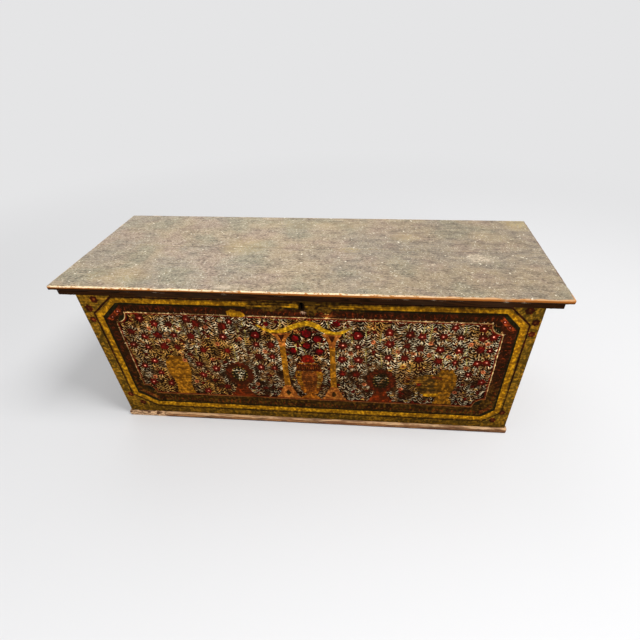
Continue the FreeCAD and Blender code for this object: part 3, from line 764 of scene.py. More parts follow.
def oval(centre, half_wide, half_high, lobes=0, lobe_height=0.0, count=96):
    """An oval outline, with lobes around it if there are any."""
    made = []
    for k in range(count):
        turn = 2 * math.pi * k / count
        swell = lobe_height * abs(math.cos(lobes * turn / 2)) - lobe_height / 2
        made.append(around(centre, turn, half_wide + swell, half_high + swell))
    return made


rings = [[oval(c, 50, 54, WREATH_LOBES, 6), oval(c, 30, 36, WREATH_LOBES, -4)] for c in WREATHS]
band("wreaths", rings, 6, WREATH_BROWN)
patch("wreath_feet", [silhouette(x, WREATH_FOOT) for x, depth in WREATHS], 5.9, RUST)
patch("left_vase", [trembled(silhouette(*VASES[0]), 4.0, 11.0)], 6, DULL_OCHRE)
patch("right_vase", [trembled(silhouette(*VASES[1]), 6.0, 9.0)], 6, DARK_OCHRE)
WAISTS = ((56, 40), (102, 34), (166, 31))
waists = [silhouette(x, [(rows[0][0] + drop + k, wide) for k in (-1.2, 1.2)], 12)
          for x, rows in VASES for drop, wide in WAISTS]
patch("vase_bands", [trembled(waist, 1.5) for waist in waists], 7, RED_BROWN)
print("two wreaths and two vases")

# %% [markdown]
# ## Foliage with Geometry Nodes
# The panel is filled with thousands of brush strokes and more than a hundred flowers. Nobody would lay them by
# hand. Geometry Nodes can: a tree takes a few lines or points, sets a small shape on each, and turns the shapes. We
# build two trees, each with named inputs, and run them as often as we like. What comes out is kept as a plain mesh.

# %% Helpers for growing trees
def growing_tree(name, inputs):
    """A tree with named inputs, which starts from a geometry. The first input of each kind of growth is its seed."""
    tree = bpy.data.node_groups.new(name, "GeometryNodeTree")
    tree.interface.new_socket("Geometry", in_out="INPUT", socket_type="NodeSocketGeometry")
    for label, value in inputs:
        kind = "NodeSocketInt" if isinstance(value, int) else "NodeSocketFloat"
        tree.interface.new_socket(label, in_out="INPUT", socket_type=kind).default_value = value
    tree.interface.new_socket("Finish", in_out="INPUT", socket_type="NodeSocketMaterial")
    tree.interface.new_socket("Geometry", in_out="OUTPUT", socket_type="NodeSocketGeometry")
    return tree, add(tree, "NodeGroupInput").outputs


def close_tree(tree, given, stamps):
    """Makes the stamps real and gives them their finish."""
    real = add(tree, "GeometryNodeRealizeInstances", (0, stamps)).outputs[0]
    done = add(tree, "GeometryNodeSetMaterial", (0, real), ("Material", given["Finish"])).outputs[0]
    add(tree, "NodeGroupOutput", (0, done))


def chance(tree, given, low, high, offset):
    """A random number for each point, from the tree's seed."""
    seed = plus(tree, given["Seed"], float(offset))
    made = add(tree, "FunctionNodeRandomValue", (2, low), (3, high), (8, seed), data_type="FLOAT")
    return made.outputs[1]


def turned(tree, angle):
    """A rotation in the plane of the front."""
    way = add(tree, "ShaderNodeCombineXYZ", ("Y", angle)).outputs[0]
    return add(tree, "FunctionNodeEulerToRotation", (0, way)).outputs[0]


def grown(name, start, tree, finish, body="case", slot="painted_front", **values):
    """Runs a tree on a mesh of lines or points, and keeps the result as a plain mesh."""
    holder = bpy.data.objects.new(name + "_start", start)
    bpy.context.scene.collection.objects.link(holder)
    grow = holder.modifiers.new("grow", "NODES")
    grow.node_group = tree
    sockets = {s.name: s.identifier for s in tree.interface.items_tree if s.in_out == "INPUT"}
    for label, value in values.items():
        grow[sockets[label.replace("_", " ")]] = value
    grow[sockets["Finish"]] = finish
    mesh = bpy.data.meshes.new_from_object(holder.evaluated_get(bpy.context.evaluated_depsgraph_get()))
    holder.modifiers.remove(grow)
    bpy.data.objects.remove(holder)
    mesh.name = name
    print(name, "has", sum(len(face.vertices) - 2 for face in mesh.polygons), "triangles")
    return finished(name, mesh, finish, body)


def lines_mesh(lines, layer):
    """A mesh of edges only, from lines of (x, depth) points."""
    made = bpy.data.meshes.new("lines")
    spots, edges = [], []
    for line in lines:
        edges += [(len(spots) + i, len(spots) + i + 1) for i in range(len(line) - 1)]
        spots += [at(x, depth, layer) for x, depth in line]
    made.from_pydata(spots, edges, [])
    return made


def points_mesh(spots, layer):
    """A mesh of single points, from (x, depth, size) rows. The size is kept as an attribute, in metres."""
    made = bpy.data.meshes.new("points")
    made.from_pydata([at(x, depth, layer) for x, depth, size in spots], [], [])
    sizes = made.attributes.new("size", "FLOAT", "POINT")
    sizes.data.foreach_set("value", [size * MM for x, depth, size in spots])
    return made


print("helpers for growing ready")

# %% [markdown]
# The first tree is a leafy stem. It cuts a line into even steps and lays a bowed stroke on each side of each step,
# leaning away from the line. A stroke is a short arc swept with a flat four-sided profile that swells in the
# middle, so it is a closed solid of only eighteen faces.

# %% The leafy stem tree
def bowed_stroke(tree, given, side):
    """One stroke that points up from the origin and bows to one side."""
    half = times(tree, given["Leaf Length"], 0.5)
    bow = times(tree, given["Leaf Length"], 0.20 * side)
    middle = add(tree, "ShaderNodeCombineXYZ", ("X", bow), ("Z", half)).outputs[0]
    tip = add(tree, "ShaderNodeCombineXYZ", ("Z", given["Leaf Length"])).outputs[0]
    line = add(tree, "GeometryNodeCurveQuadraticBezier", ("Resolution", 4), ("Middle", middle), ("End", tip),
               ("Start", (0, 0, 0))).outputs[0]
    share = add(tree, "GeometryNodeSplineParameter").outputs["Factor"]
    swell = calc(tree, "SINE", times(tree, calc(tree, "POWER", share, 0.7), math.pi))
    swell = times(tree, plus(tree, swell, 0.25), given["Leaf Width"])
    profile = add(tree, "GeometryNodeCurvePrimitiveCircle", ("Resolution", 4), (4, 0.5), mode="RADIUS").outputs[0]
    swept = add(tree, "GeometryNodeCurveToMesh", (0, line), (1, profile), ("Scale", swell), ("Fill Caps", True))
    flat = add(tree, "GeometryNodeTransform", (0, swept.outputs[0]), ("Scale", (1.0, 0.05, 1.0)))
    return flat.outputs[0]


def leafy_stem_tree():
    tree, given = growing_tree("leafy stem", [("Pitch", 0.0084), ("Leaf Length", 0.0230), ("Leaf Width", 0.0024),
                                              ("Slant", 0.90), ("Spread", 0.22), ("Seed", 1)])
    line = add(tree, "GeometryNodeMeshToCurve", (0, given["Geometry"])).outputs[0]
    steps = add(tree, "GeometryNodeResampleCurve", (0, line), ("Length", given["Pitch"]), mode="LENGTH").outputs[0]
    way = add(tree, "ShaderNodeSeparateXYZ", (0, add(tree, "GeometryNodeInputTangent").outputs[0])).outputs
    heading = calc(tree, "ARCTAN2", way["X"], way["Z"])
    sides = add(tree, "GeometryNodeJoinGeometry")
    for k, side in enumerate((-1.0, 1.0)):
        stray = times(tree, chance(tree, given, -1.0, 1.0, 10 + k), given["Spread"])
        lean = times(tree, plus(tree, given["Slant"], stray), side)
        stamps = add(tree, "GeometryNodeInstanceOnPoints", (0, steps), ("Instance", bowed_stroke(tree, given, side)),
                     ("Rotation", turned(tree, plus(tree, heading, lean))),
                     ("Scale", chance(tree, given, 0.75, 1.2, 20 + k)))
        tree.links.new(stamps.outputs[0], sides.inputs[0])
    close_tree(tree, given, sides.outputs[0])
    return tree


LEAFY_STEM = leafy_stem_tree()
print("leafy stem tree has", len(LEAFY_STEM.nodes), "nodes")

# %% [markdown]
# The second tree is a rosette: a thin round slab whose rim waves in and out to make petals. It sets one on each
# point of a mesh and takes the radius from an attribute that each point carries.

# %% The rosette tree
def rosette_tree():
    tree, given = growing_tree("rosette", [("Petals", 5.0), ("Petal Depth", 0.14), ("Share", 1.0), ("Stretch", 1.0),
                                           ("Thickness", 0.00012), ("Seed", 1)])
    slab = add(tree, "GeometryNodeMeshCylinder", ("Vertices", 20), ("Radius", 1.0), ("Depth", given["Thickness"]))
    spot = add(tree, "ShaderNodeSeparateXYZ", (0, add(tree, "GeometryNodeInputPosition").outputs[0])).outputs
    round_angle = calc(tree, "ARCTAN2", spot["Y"], spot["X"])
    wave = calc(tree, "COSINE", times(tree, round_angle, given["Petals"]))
    reach = plus(tree, times(tree, wave, given["Petal Depth"]), 1.0)
    x = times(tree, spot["X"], reach)
    y = times(tree, times(tree, spot["Y"], reach), given["Stretch"])
    moved = add(tree, "ShaderNodeCombineXYZ", ("X", x), ("Y", y), ("Z", spot["Z"])).outputs[0]
    petals = add(tree, "GeometryNodeSetPosition", (0, slab.outputs[0]), ("Position", moved)).outputs[0]
    upright = add(tree, "GeometryNodeTransform", (0, petals), ("Rotation", (math.pi / 2, 0, 0))).outputs[0]
    size = add(tree, "GeometryNodeInputNamedAttribute", ("Name", "size"), data_type="FLOAT").outputs[0]
    size = times(tree, size, given["Share"])
    scale = add(tree, "ShaderNodeCombineXYZ", ("X", size), ("Y", 1.0), ("Z", size)).outputs[0]
    stamps = add(tree, "GeometryNodeInstanceOnPoints", (0, given["Geometry"]), ("Instance", upright),
                 ("Rotation", turned(tree, chance(tree, given, -0.6, 0.6, 3))), ("Scale", scale))
    close_tree(tree, given, stamps.outputs[0])
    return tree


ROSETTE = rosette_tree()
print("rosette tree has", len(ROSETTE.nodes), "nodes")

# %% [markdown]
# Foliage is not one colour. The painter mixed cream, grey and ochre as the brush ran dry, and the middle of the
# panel is cooler than its ends. One material does this: noise as fine as a stroke picks the mix, and a broad mask
# warms the left. Behind the stems a looser layer of dim strokes fills the gaps.

# %% Foliage paint
def foliage_paint(name, light, grey, warm, dim):
    """Three colours mixed by noise, warmer at the left, dim towards the foot and on the right's lower plank."""
    made, tree, shader = material(name)
    place, split = whereabouts(tree)
    tone = mix(tree, rise(tree, cloud(tree, place, 85.0, 1.0), 0.40, 0.60), paint(*grey), paint(*light))
    broad = plus(tree, cloud(tree, place, 9.0, 2.0), rise(tree, split["X"], -0.50, 0.05, 0.12, -0.08))
    tone = mix(tree, rise(tree, broad, 0.46, 0.66), tone, paint(*warm))
    foot = rise(tree, split["Z"], at(0, 460).z, at(0, 250).z, dim, 0.0)
    lower_plank = times(tree, rise(tree, split["Z"], PLANK_JOINT_Z - 6.0 * MM, PLANK_JOINT_Z, 1.4 * dim, 0.0),
                        rise(tree, split["X"], -0.24, -0.14))
    haze = times(tree, rise(tree, cloud(tree, place, 30.0, 2.0), 0.47, 0.66, 0.0, 0.75),
                 rise(tree, split["X"], 0.10, 0.45, 1.0, 0.75))
    tone = mix(tree, plus(tree, greater(tree, foot, lower_plank), haze), tone, paint(54, 30, 12))
    worn = use_group(tree, WORN_PAINT, Paint=tone, Shade=mix(tree, 0.4, tone, paint(40, 26, 12)), Wear=0.25, Dirt=0.3)
    surface(tree, shader, worn["Color"], worn["Roughness"], worn["Height"], 0.3 * MM)
    return made


PALE_STROKES = foliage_paint("pale strokes", (255, 238, 192), (190, 134, 78), (212, 156, 74), 0.32)
DIM_STROKES = foliage_paint("dim strokes", (150, 98, 46), (104, 68, 34), (140, 62, 20), 0.30)
PALE_STEM = foliage_paint("pale stems", (206, 184, 96), (150, 132, 66), (150, 110, 44), 0.30)
YELLOW_LEAF = foliage_paint("yellow leaves", (216, 172, 84), (184, 136, 56), (180, 120, 36), 0.25)
print("foliage paints mixed")

# %% [markdown]
# The stems stand about 50 mm apart and wander a little. Between them run shorter, dimmer ones. The lines are made
# with a fixed seed, so the chest is the same every time. Some stems show their own pale line, broken here and there.

# %% Stems and strokes
STEM_PITCH, STEM_REACH = 51, 612
PALE_DROP = 110
PANEL_TOP, PANEL_FOOT = 112, 464
dice = Random(4)


def wandering(x, low, high, sway=14, step=12):
    """An upright line from a low point up to a high one. Lines that are close sway alike and don't cross."""
    rows = max(2, round((low - high) / step))
    depths = [low + (high - low) * k / rows for k in range(rows + 1)]
    return [(x + sway * noise.noise(Vector((x / 170, depth / 50, 0))), depth) for depth in depths]


def reach_of(x):
    """How low and how high a stem can go: the scooped corners shorten the outermost ones."""
    return (424, 146) if abs(x) > 596 else (PANEL_FOOT, PANEL_TOP)


main_stems = [wandering(x, *reach_of(x)) for x in range(-STEM_REACH, STEM_REACH + 1, STEM_PITCH)]
side_stems = [wandering(x + STEM_PITCH / 2, PANEL_FOOT - dice.uniform(0, 14), PANEL_TOP + dice.uniform(-4, 8))
              for x in range(-STEM_REACH, 600, STEM_PITCH)]
pale_stems = []
for x in range(-561, 600, STEM_PITCH):
    foot = dice.uniform(250, 330)
    for k in range(2):
        start = foot - PALE_DROP * k
        top = max(PANEL_TOP, start - dice.uniform(50, 95))
        pale_stems.append(wandering(x + dice.choice((0, STEM_PITCH / 2)), start, top))
twigs = []
for k in range(120):
    x, depth = dice.uniform(-610, 610), dice.uniform(PANEL_TOP + 20, PANEL_FOOT - 4)
    lean, reach = dice.uniform(-26, 26), dice.uniform(18, 50)
    twigs.append([(x, depth), (x + lean * 0.3, depth - reach * 0.5), (x + lean, max(PANEL_TOP, depth - reach))])
grown("stem_strokes", lines_mesh(main_stems, 3.9), LEAFY_STEM, PALE_STROKES, Seed=3)
grown("side_stem_strokes", lines_mesh(side_stems, 3.7), LEAFY_STEM, PALE_STROKES, Seed=8, Pitch=0.0125,
      Leaf_Length=0.0110, Leaf_Width=0.0026, Slant=0.6, Spread=0.35)
grown("twig_strokes", lines_mesh(twigs, 3.5), LEAFY_STEM, DIM_STROKES, Seed=5, Pitch=0.008, Leaf_Length=0.011,
      Leaf_Width=0.003, Spread=0.8)
band("pale_stems", [stroke(line, [1.0] + [3.4] * (len(line) - 2) + [1.0]) for line in pale_stems], 5, PALE_STEM,
     closed=False)
leaves = [(dice.uniform(-605, 605), dice.uniform(PANEL_TOP, PANEL_FOOT), dice.uniform(3.0, 6.5)) for k in range(150)]
grown("yellow_leaves", points_mesh(leaves, 4.6), ROSETTE, YELLOW_LEAF, Petals=2.0, Petal_Depth=0.35, Stretch=0.55,
      Seed=6)

# %% [markdown]
# ## Flowers
# The flowers are dark red with a paler inside and a pink heart, in loose rows along the stems. Their places are
# listed stem by stem. A few near the arch are larger and a brighter red. Each lies on a dark shade with a
# ring of pale strokes round it, and smaller orange flowers fill the gaps.

# %% Flowers
FLOWERS = {-596: (182, 332), -606: (236,), -590: (412,), -556: (196, 244), -552: (306,), -548: (364, 124),
           -524: (416,), -504: (144, 190), -498: (238,), -446: (186, 242), -452: (144,), -388: (124, 192, 316),
           -386: (366, 446), -360: (140, 248), -332: (334,), -308: (420,), -274: (148, 248), -276: (192,),
           -244: (124,), -168: (268, 316), -166: (218,), -118: (216, 270, 316), 128: (210,), 124: (268, 332),
           176: (212, 268), 170: (332,), 280: (152, 194, 252), 346: (156,), 338: (200,), 334: (252,),
           380: (162, 208, 258), 392: (370,), 446: (160, 210, 262), 504: (160, 210, 264), 480: (124,), 568: (124,),
           574: (160, 208, 262), 550: (316,), 604: (154, 206, 258, 344)}
BRIGHT_FLOWERS = [(6, 164, 15), (-33, 186, 12), (42, 186, 13), (4, 214, 12), (-42, 238, 11), (46, 238, 12),
                  (-166, 178, 14), (176, 166, 15), (108, 122, 11), (-124, 132, 9)]
SMALL_FLOWERS = [(x, depth, 7) for x, depth in ((-420, 220), (-330, 190), (-200, 150), (-200, 250), (-90, 122),
                                                (230, 150), (228, 230), (310, 120), (420, 130), (530, 240),
                                                (-210, 420), (-110, 420), (160, 420), (330, 430), (560, 430),
                                                (-575, 280), (-415, 270), (210, 410), (600, 400), (-350, 390))]
ORANGE_FLOWERS = [(x, depth, 8) for x, depth in ((-528, 166), (-476, 214), (-424, 164), (-330, 152), (-304, 222),
                                                 (-222, 196), (-142, 246), (-576, 386), (-440, 300), (-420, 400),
                                                 (-336, 290), (-190, 400), (152, 242), (152, 300), (226, 190),
                                                 (308, 226), (360, 232), (412, 186), (412, 236), (476, 240),
                                                 (540, 186), (540, 286), (592, 182), (600, 300), (200, 380),
                                                 (330, 396), (520, 400))]
PETAL = painted("petals", (78, 13, 7), (42, 8, 4), 0.22, 0.45)
PETAL_INSIDE = painted("petals inside", (106, 23, 14), (62, 12, 8), 0.22, 0.40)
BRIGHT_PETAL = painted("bright petals", (106, 8, 10), (64, 5, 7), 0.16, 0.30)
HEART = painted("flower hearts", (236, 156, 128), (190, 96, 70), 0.10, 0.20)
ORANGE_PETAL = painted("orange petals", (190, 108, 62), (122, 54, 28), 0.20, 0.40)


def rings_of_strokes(spots, gap, count=14):
    """Closed lines round each spot, a gap outside its radius, to carry strokes."""
    lines = []
    for x, depth, size in spots:
        turns = [2 * math.pi * k / count for k in range(count + 1)]
        lines.append([(x + (size + gap) * math.sin(t), depth + (size + gap) * math.cos(t)) for t in turns])
    return lines


flowers = [(x + dice.uniform(-3, 3), depth + dice.uniform(-3, 3), dice.uniform(12.0, 16.5))
           for x, depths in FLOWERS.items() for depth in depths]
shades = [(x, depth, size + 7.0) for x, depth, size in flowers + BRIGHT_FLOWERS[:8]]
grown("flower_shades", points_mesh(shades, 4.5), ROSETTE, FIELD, Petals=7.0, Petal_Depth=0.10, Seed=40)
grown("flower_rays", lines_mesh(rings_of_strokes(flowers, 3.5), 5.1), LEAFY_STEM, PALE_STROKES, Pitch=0.0085,
      Leaf_Length=0.0120, Leaf_Width=0.0026, Slant=1.40, Spread=0.25, Seed=41)
berries = [(dice.uniform(-608, 608), dice.uniform(PANEL_TOP, PANEL_FOOT), dice.uniform(3.5, 7.0)) for k in range(260)]
grown("berries", points_mesh(berries, 4.9), ROSETTE, PETAL, Petals=3.0, Petal_Depth=0.2, Stretch=0.8, Seed=14)
grown("flower_petals", points_mesh(flowers + SMALL_FLOWERS, 5.8), ROSETTE, PETAL, Stretch=1.0, Seed=2)
grown("bright_flower_petals", points_mesh(BRIGHT_FLOWERS, 5.9), ROSETTE, BRIGHT_PETAL, Petals=6.0, Seed=12)
grown("flower_insides", points_mesh(flowers, 6.5), ROSETTE, PETAL_INSIDE, Share=0.55, Petal_Depth=0.22, Seed=4)
hearts = [spot for spot in flowers if dice.random() < 0.7] + BRIGHT_FLOWERS[6:8]
grown("flower_hearts", points_mesh(hearts, 7.1), ROSETTE, HEART, Share=0.19, Petal_Depth=0.05, Seed=9)
grown("orange_flowers", points_mesh(ORANGE_FLOWERS, 5.9), ROSETTE, ORANGE_PETAL, Petals=8.0, Petal_Depth=0.32, Seed=42)
grown("orange_flower_hearts", points_mesh(ORANGE_FLOWERS, 6.5), ROSETTE, PETAL, Share=0.36, Seed=43)
daisy = points_mesh([(330, 290, 12), (76, 92, 9)], 6.0)
grown("daisies", daisy, ROSETTE, YELLOW_LEAF, Petals=8.0, Petal_Depth=0.2, Seed=7)
grown("daisy_hearts", points_mesh([(330, 290, 12)], 6.7), ROSETTE, LINE_RED, Share=0.4, Seed=7)
print(len(flowers) + len(SMALL_FLOWERS) + len(BRIGHT_FLOWERS) + len(ORANGE_FLOWERS), "flowers")

# %% [markdown]
# ## Marks on the borders
# Small orange touches run along the red-brown border, and dark red rosettes sit in the olive corners outside the
# frame. The two trees make these as well.

# %% Border marks and corner rosettes
BORDER_MARK = painted("border marks", (98, 36, 10), (60, 22, 6), 0.34, 0.50)
CORNER_FLOWERS = [(-678, 58, 13), (-708, 92, 13), (-712, 136, 11), (688, 52, 14), (716, 94, 12), (716, 138, 11),
                  (-670, 526, 12), (-706, 484, 12), (680, 534, 12), (706, 492, 12)]
border = stepped(round_from_keyhole(38), step=20.0, closed=False)
grown("border_marks", lines_mesh(border, 6.2), LEAFY_STEM, BORDER_MARK, Pitch=0.017, Leaf_Length=0.009,
      Leaf_Width=0.0035, Slant=1.2, Spread=1.2, Seed=21)
grown("corner_petals", points_mesh(CORNER_FLOWERS, 1.6), ROSETTE, WREATH_BROWN, Petals=6.0, Seed=22)
grown("corner_hearts", points_mesh(CORNER_FLOWERS, 2.4), ROSETTE, URN_BROWN, Share=0.35, Seed=23)
bar_line = framed(40)
bar_flowers = [(*Vector(bar_line[k]).lerp(Vector(bar_line[(k + 1) % 8]), share), 6.5)
               for k in (1, 7) for share in (0.22, 0.74)]
grown("bar_flowers", points_mesh(bar_flowers, 6.6), ROSETTE, PETAL, Seed=24)
grown("bar_flower_hearts", points_mesh(bar_flowers, 7.3), ROSETTE, HEART, Share=0.35, Seed=25)
print("border marks and", len(CORNER_FLOWERS), "corner rosettes")

# %% [markdown]
# ## Retouched patches
# Somebody has mended the front with plain ochre: a blotch that hangs over the panel's upper edge, and a big smear
# beside the right vase, where the flowers are gone. Both have ragged edges, so their outlines tremble strongly.

# %% Retouched patches
BLOTCHES = [[(-246, 86), (-228, 80), (-212, 84), (-196, 90), (-186, 99), (-198, 108), (-214, 106), (-230, 108),
             (-244, 100)],
            [(54, 92), (72, 87), (94, 88), (108, 93), (92, 98), (66, 98)]]
SMEAR = [(392, 330), (416, 326), (446, 330), (466, 342), (468, 372), (464, 392), (466, 416), (436, 424), (408, 416),
         (396, 400), (384, 384), (388, 366), (374, 350)]
SMEAR_STREAKS = [[(x, depth), (x + 44, depth - 4), (x + 96, depth + 2)] for x, depth in (
    (366, 336), (342, 350), (358, 362), (332, 372), (352, 388), (372, 402), (398, 414), (404, 326))]
SMEAR_SHADES = [[(376, 374), (420, 378), (462, 372)], [(388, 392), (428, 397), (466, 391)],
                [(402, 354), (430, 350), (458, 356)]]
SMEAR_FOOT = [[(400, 411), (430, 417), (466, 412)], [(410, 421), (434, 424), (464, 420)]]
SMEAR_HEAD = [(424, 339), (446, 334), (470, 342)]
MUD = painted("smeared ochre", (102, 66, 20), (54, 37, 11), 0.36, 0.60)
SMEAR_DARK = painted("smear shades", (62, 42, 14), (38, 28, 10), 0.30, 0.50)
SMEAR_LIGHT = painted("smear streaks", (132, 88, 24), (80, 54, 16), 0.40, 0.55)
patch("ochre_blotch", [trembled(rounded(BLOTCHES[0], 8), 5.0, 9.0)], 7.3, OCHRE)
patch("orange_blotch", [trembled(rounded(BLOTCHES[1], 8), 3.0, 9.0)], 7.3, URN_BROWN)
patch("ochre_smear", [trembled(rounded(SMEAR, 8), 6.0, 10.0, seed=3)], 5.8, MUD)
streaks = [trembled(line, 6.0, 20.0, seed=k) for k, line in enumerate(SMEAR_STREAKS)]
strokes("ochre_streaks", streaks, [1, 6, 2], 6.6, SMEAR_LIGHT)
strokes("smear_shades", SMEAR_SHADES, [1, 7, 2], 7.2, SMEAR_DARK)
strokes("smear_foot", SMEAR_FOOT, [3, 8, 5], 7.2, OCHRE)
strokes("smear_head", [SMEAR_HEAD], [3, 12, 6], 7.2, URN_BROWN)
print("retouched patches laid")

# %% [markdown]
# A wreath holds a small posy, and so does the urn. Cream dots ring the inside of each wreath.

# %% Posies and dots
dots = [(*around(c, 2 * math.pi * k / 14, 26, 31), 2.6) for c in WREATHS for k in range(14)]
hollows = [trembled(oval(c, 31, 37), 1.5, 12.0) for c in WREATHS]
patch("wreath_hollows", hollows, 5.5, GREEN_BLACK)
grown("wreath_dots", points_mesh(dots, 6.6), ROSETTE, YELLOW_LEAF, Petals=3.0, Stretch=0.8, Seed=31)
posy_lines = [[(x + s * 2, depth + 24), (x + s * 7, depth + 6), (x + s * 13, depth - 14)]
              for x, depth in WREATHS for s in (-1, 0, 1)]
grown("posy_strokes", lines_mesh(posy_lines, 6.2), LEAFY_STEM, PALE_STROKES, Pitch=0.010, Leaf_Length=0.011,
      Leaf_Width=0.0022, Seed=32)
hatch = [[(URN + x, 334), (URN + x * 0.9, 372), (URN + x * 0.6, 428 - abs(x) * 0.4)] for x in (-20, -7, 7, 20)]
grown("urn_hatching", lines_mesh(hatch, 6.9), LEAFY_STEM, ORANGE, Pitch=0.010, Leaf_Length=0.010,
      Leaf_Width=0.0022, Slant=0.7, Seed=33)
ribs = [[(URN + x, 338), (URN + x * 0.96, 372), (URN + x * 0.72, 420)] for x in (-39, 39)]
grown("urn_ribs", lines_mesh(ribs, 6.9), LEAFY_STEM, BORDER_MARK, Pitch=0.011, Leaf_Length=0.010,
      Leaf_Width=0.0022, Slant=0.7, Seed=34)
lights = [(URN + x, depth, size) for x, depth, size in ((37, 352, 6), (33, 384, 8), (28, 402, 5), (-38, 348, 6))]
grown("urn_lights", points_mesh(lights, 7.6), ROSETTE, YELLOW_LEAF, Petals=3.0, Petal_Depth=0.25, Seed=36)
neck = [[(URN - 40, 311), (URN, 313), (URN + 40, 311)]]
grown("urn_neck_marks", lines_mesh(neck, 6.9), LEAFY_STEM, ORANGE, Pitch=0.008, Leaf_Length=0.008,
      Leaf_Width=0.002, Slant=1.2, Seed=35)
print(len(dots), "dots in the wreaths")

# %% [markdown]
# ## Worn boards
# The lid and the front of the base have been knocked for two hundred years. Their edges are rounded unevenly and
# chipped, which a plain plank does not show, so these boards are built again. A lattice covers the box of the CAD
# board, closer near its edges. Each point there is moved onto a rounded edge, then nibbled inwards by noise, so
# the board never leaves its own box.

# %% A worn board
def ladder(low, high, low_round, high_round, cell):
    """Places along one side of a board: close together at its two rounded edges, and a cell apart between them."""
    start, stop = low + low_round, high - high_round
    count = max(1, round((stop - start) / cell))
    edge = (0.0, 0.25, 0.55, 0.8)
    return ([low + low_round * s for s in edge] + [start + (stop - start) * k / count for k in range(count + 1)]
            + [high - high_round * s for s in edge[::-1]])


def worn_point(spot, low, high, rounds, chip, wave, seed):
    """Moves a point of the box onto its rounded, chipped and wavy surface."""
    core, reach = Vector(spot), Vector((0, 0, 0))
    for a in range(3):
        low_round, high_round = rounds[a]
        if spot[a] < low[a] + low_round:
            core[a], reach[a] = low[a] + low_round, (spot[a] - low[a] - low_round) / low_round
        elif spot[a] > high[a] - high_round:
            core[a], reach[a] = high[a] - high_round, (spot[a] - high[a] + high_round) / high_round
    edge = sorted(abs(r) for r in reach)[1]
    reach.normalize()
    widths = [rounds[a][0] if reach[a] < 0 else rounds[a][1] for a in range(3)]
    out = Vector([reach[a] * widths[a] for a in range(3)])
    place = Vector(spot) / MM
    bite = max(0.0, noise.noise(place / 24.0 + Vector((seed, 0, 0))) - 0.12) * 4.0 * chip
    bite += max(0.0, noise.noise(place / 7.0 + Vector((0, seed, 0)))) * 1.1 * chip
    share = min(0.7, edge * bite * MM / max(out.length, MM))
    flat = wave * (0.5 + 0.5 * noise.noise(place / 70.0 + Vector((0, 0, seed))))
    return core + out * (1.0 - share) - reach * flat


def worn_board(name, node, finish, body, rounds, cell, chip=1.0, wave=0.3 * MM, seed=1.0, extra=None):
    """A closed board in the box of a CAD node, which it replaces."""
    low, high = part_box(node)
    steps = [ladder(low[a], high[a], rounds[a][0], rounds[a][1], cell[a]) for a in range(3)]
    last = [len(row) - 1 for row in steps]
    sheet = bmesh.new()
    made = {}

    def corner(key):
        if key not in made:
            spot = worn_point(Vector([steps[a][key[a]] for a in range(3)]), low, high, rounds, chip, wave, seed)
            made[key] = sheet.verts.new(extra(spot) if extra else spot)
        return made[key]

    for a in range(3):
        b, c = (a + 1) % 3, (a + 2) % 3
        for side in (0, last[a]):
            for i in range(last[b]):
                for j in range(last[c]):
                    keys = []
                    for di, dj in ((0, 0), (1, 0), (1, 1), (0, 1)):
                        key = [0, 0, 0]
                        key[a], key[b], key[c] = side, i + di, j + dj
                        keys.append(tuple(key))
                    face = sheet.faces.new([corner(key) for key in (keys if side else keys[::-1])])
                    face.smooth = True
    mesh = bpy.data.meshes.new(name)
    sheet.to_mesh(mesh)
    sheet.free()
    board = finished(name, mesh, finish, body)
    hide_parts(node)
    print(name, "has", 2 * len(mesh.polygons), "triangles")
    return board


print("worn boards can be made")

# %% [markdown]
# The lid's paint is a dull grey-brown, with ochre stains, scratches along the grain and pale specks, and painted
# shade darkens it towards the right end. Warm wood shows along its rims, with a painted highlight on their top edge
# and painted shade lower down. Only the top is painted, so the material asks how high a point lies and how far inside.

# %% Places and colours on the lid
STAINS = [(-0.25, 0.02, 0.10, 0.09, 0.5), (0.13, 0.0, 0.05, 0.03, 0.5), (0.33, 0.12, 0.08, 0.05, 0.4),
          (0.62, 0.14, 0.09, 0.05, 0.3), (-0.05, 0.22, 0.30, 0.06, 0.3), (-0.60, -0.22, 0.14, 0.06, 0.35),
          (0.76, 0.27, 0.07, 0.10, 0.6)]
SCUFFS = [(0.572, -0.048, 0.095, 0.060, 0.32), (-0.245, 0.215, 0.07, 0.05, 0.28), (-0.235, -0.275, 0.05, 0.02, 0.42),
          (0.16, -0.235, 0.03, 0.03, 0.30), (0.40, -0.10, 0.05, 0.02, 0.3)]
LID_WARM, LID_COOL, LID_DARK = paint(178, 158, 130), paint(162, 150, 134), paint(96, 82, 66)
LID_GREEN, LID_PINK = paint(148, 146, 124), paint(176, 150, 134)
LID_OCHRE, LID_SCUFF, LID_SPECK = paint(196, 170, 116), paint(206, 184, 156), paint(240, 230, 206)
LID_SCRATCH = paint(224, 204, 176)
# On the rim, the pale edge is worn wood with a painted highlight, and the darkest colour is painted shade.
RIM_PALE_AND_HIGHLIGHT, RIM_WARM = paint(244, 218, 176), paint(180, 122, 66)
RIM_BROWN, RIM_PAINTED_SHADE, RIM_DULL = paint(140, 82, 32), paint(34, 18, 7), paint(112, 82, 58)


def spots_on_top(tree, split, spots):
    """One mask for a list of soft ovals on the lid: place, half sizes and strength."""
    total = 0.0
    for x, y, half_x, half_y, strength in spots:
        total = plus(tree, total, oval_mask(tree, split, "XY", (x, y), (half_x, half_y), strength))
    return total


def from_outline(tree, split, right, front, back):
    """How far a point lies inside the outline of a board, seen from above."""
    ends = minus(tree, right, calc(tree, "ABSOLUTE", split["X"]))
    return lesser(tree, ends, lesser(tree, minus(tree, split["Y"], front), minus(tree, back, split["Y"])))


print(len(STAINS), "stains and", len(SCUFFS), "scuffs on the lid")

# %% [markdown]
# The paint on top is laid tone over tone, each with its own noise. Towards the edge it gives way to the wood of the
# rim, along a line that noise nibbles at. From below, the boards are bare.

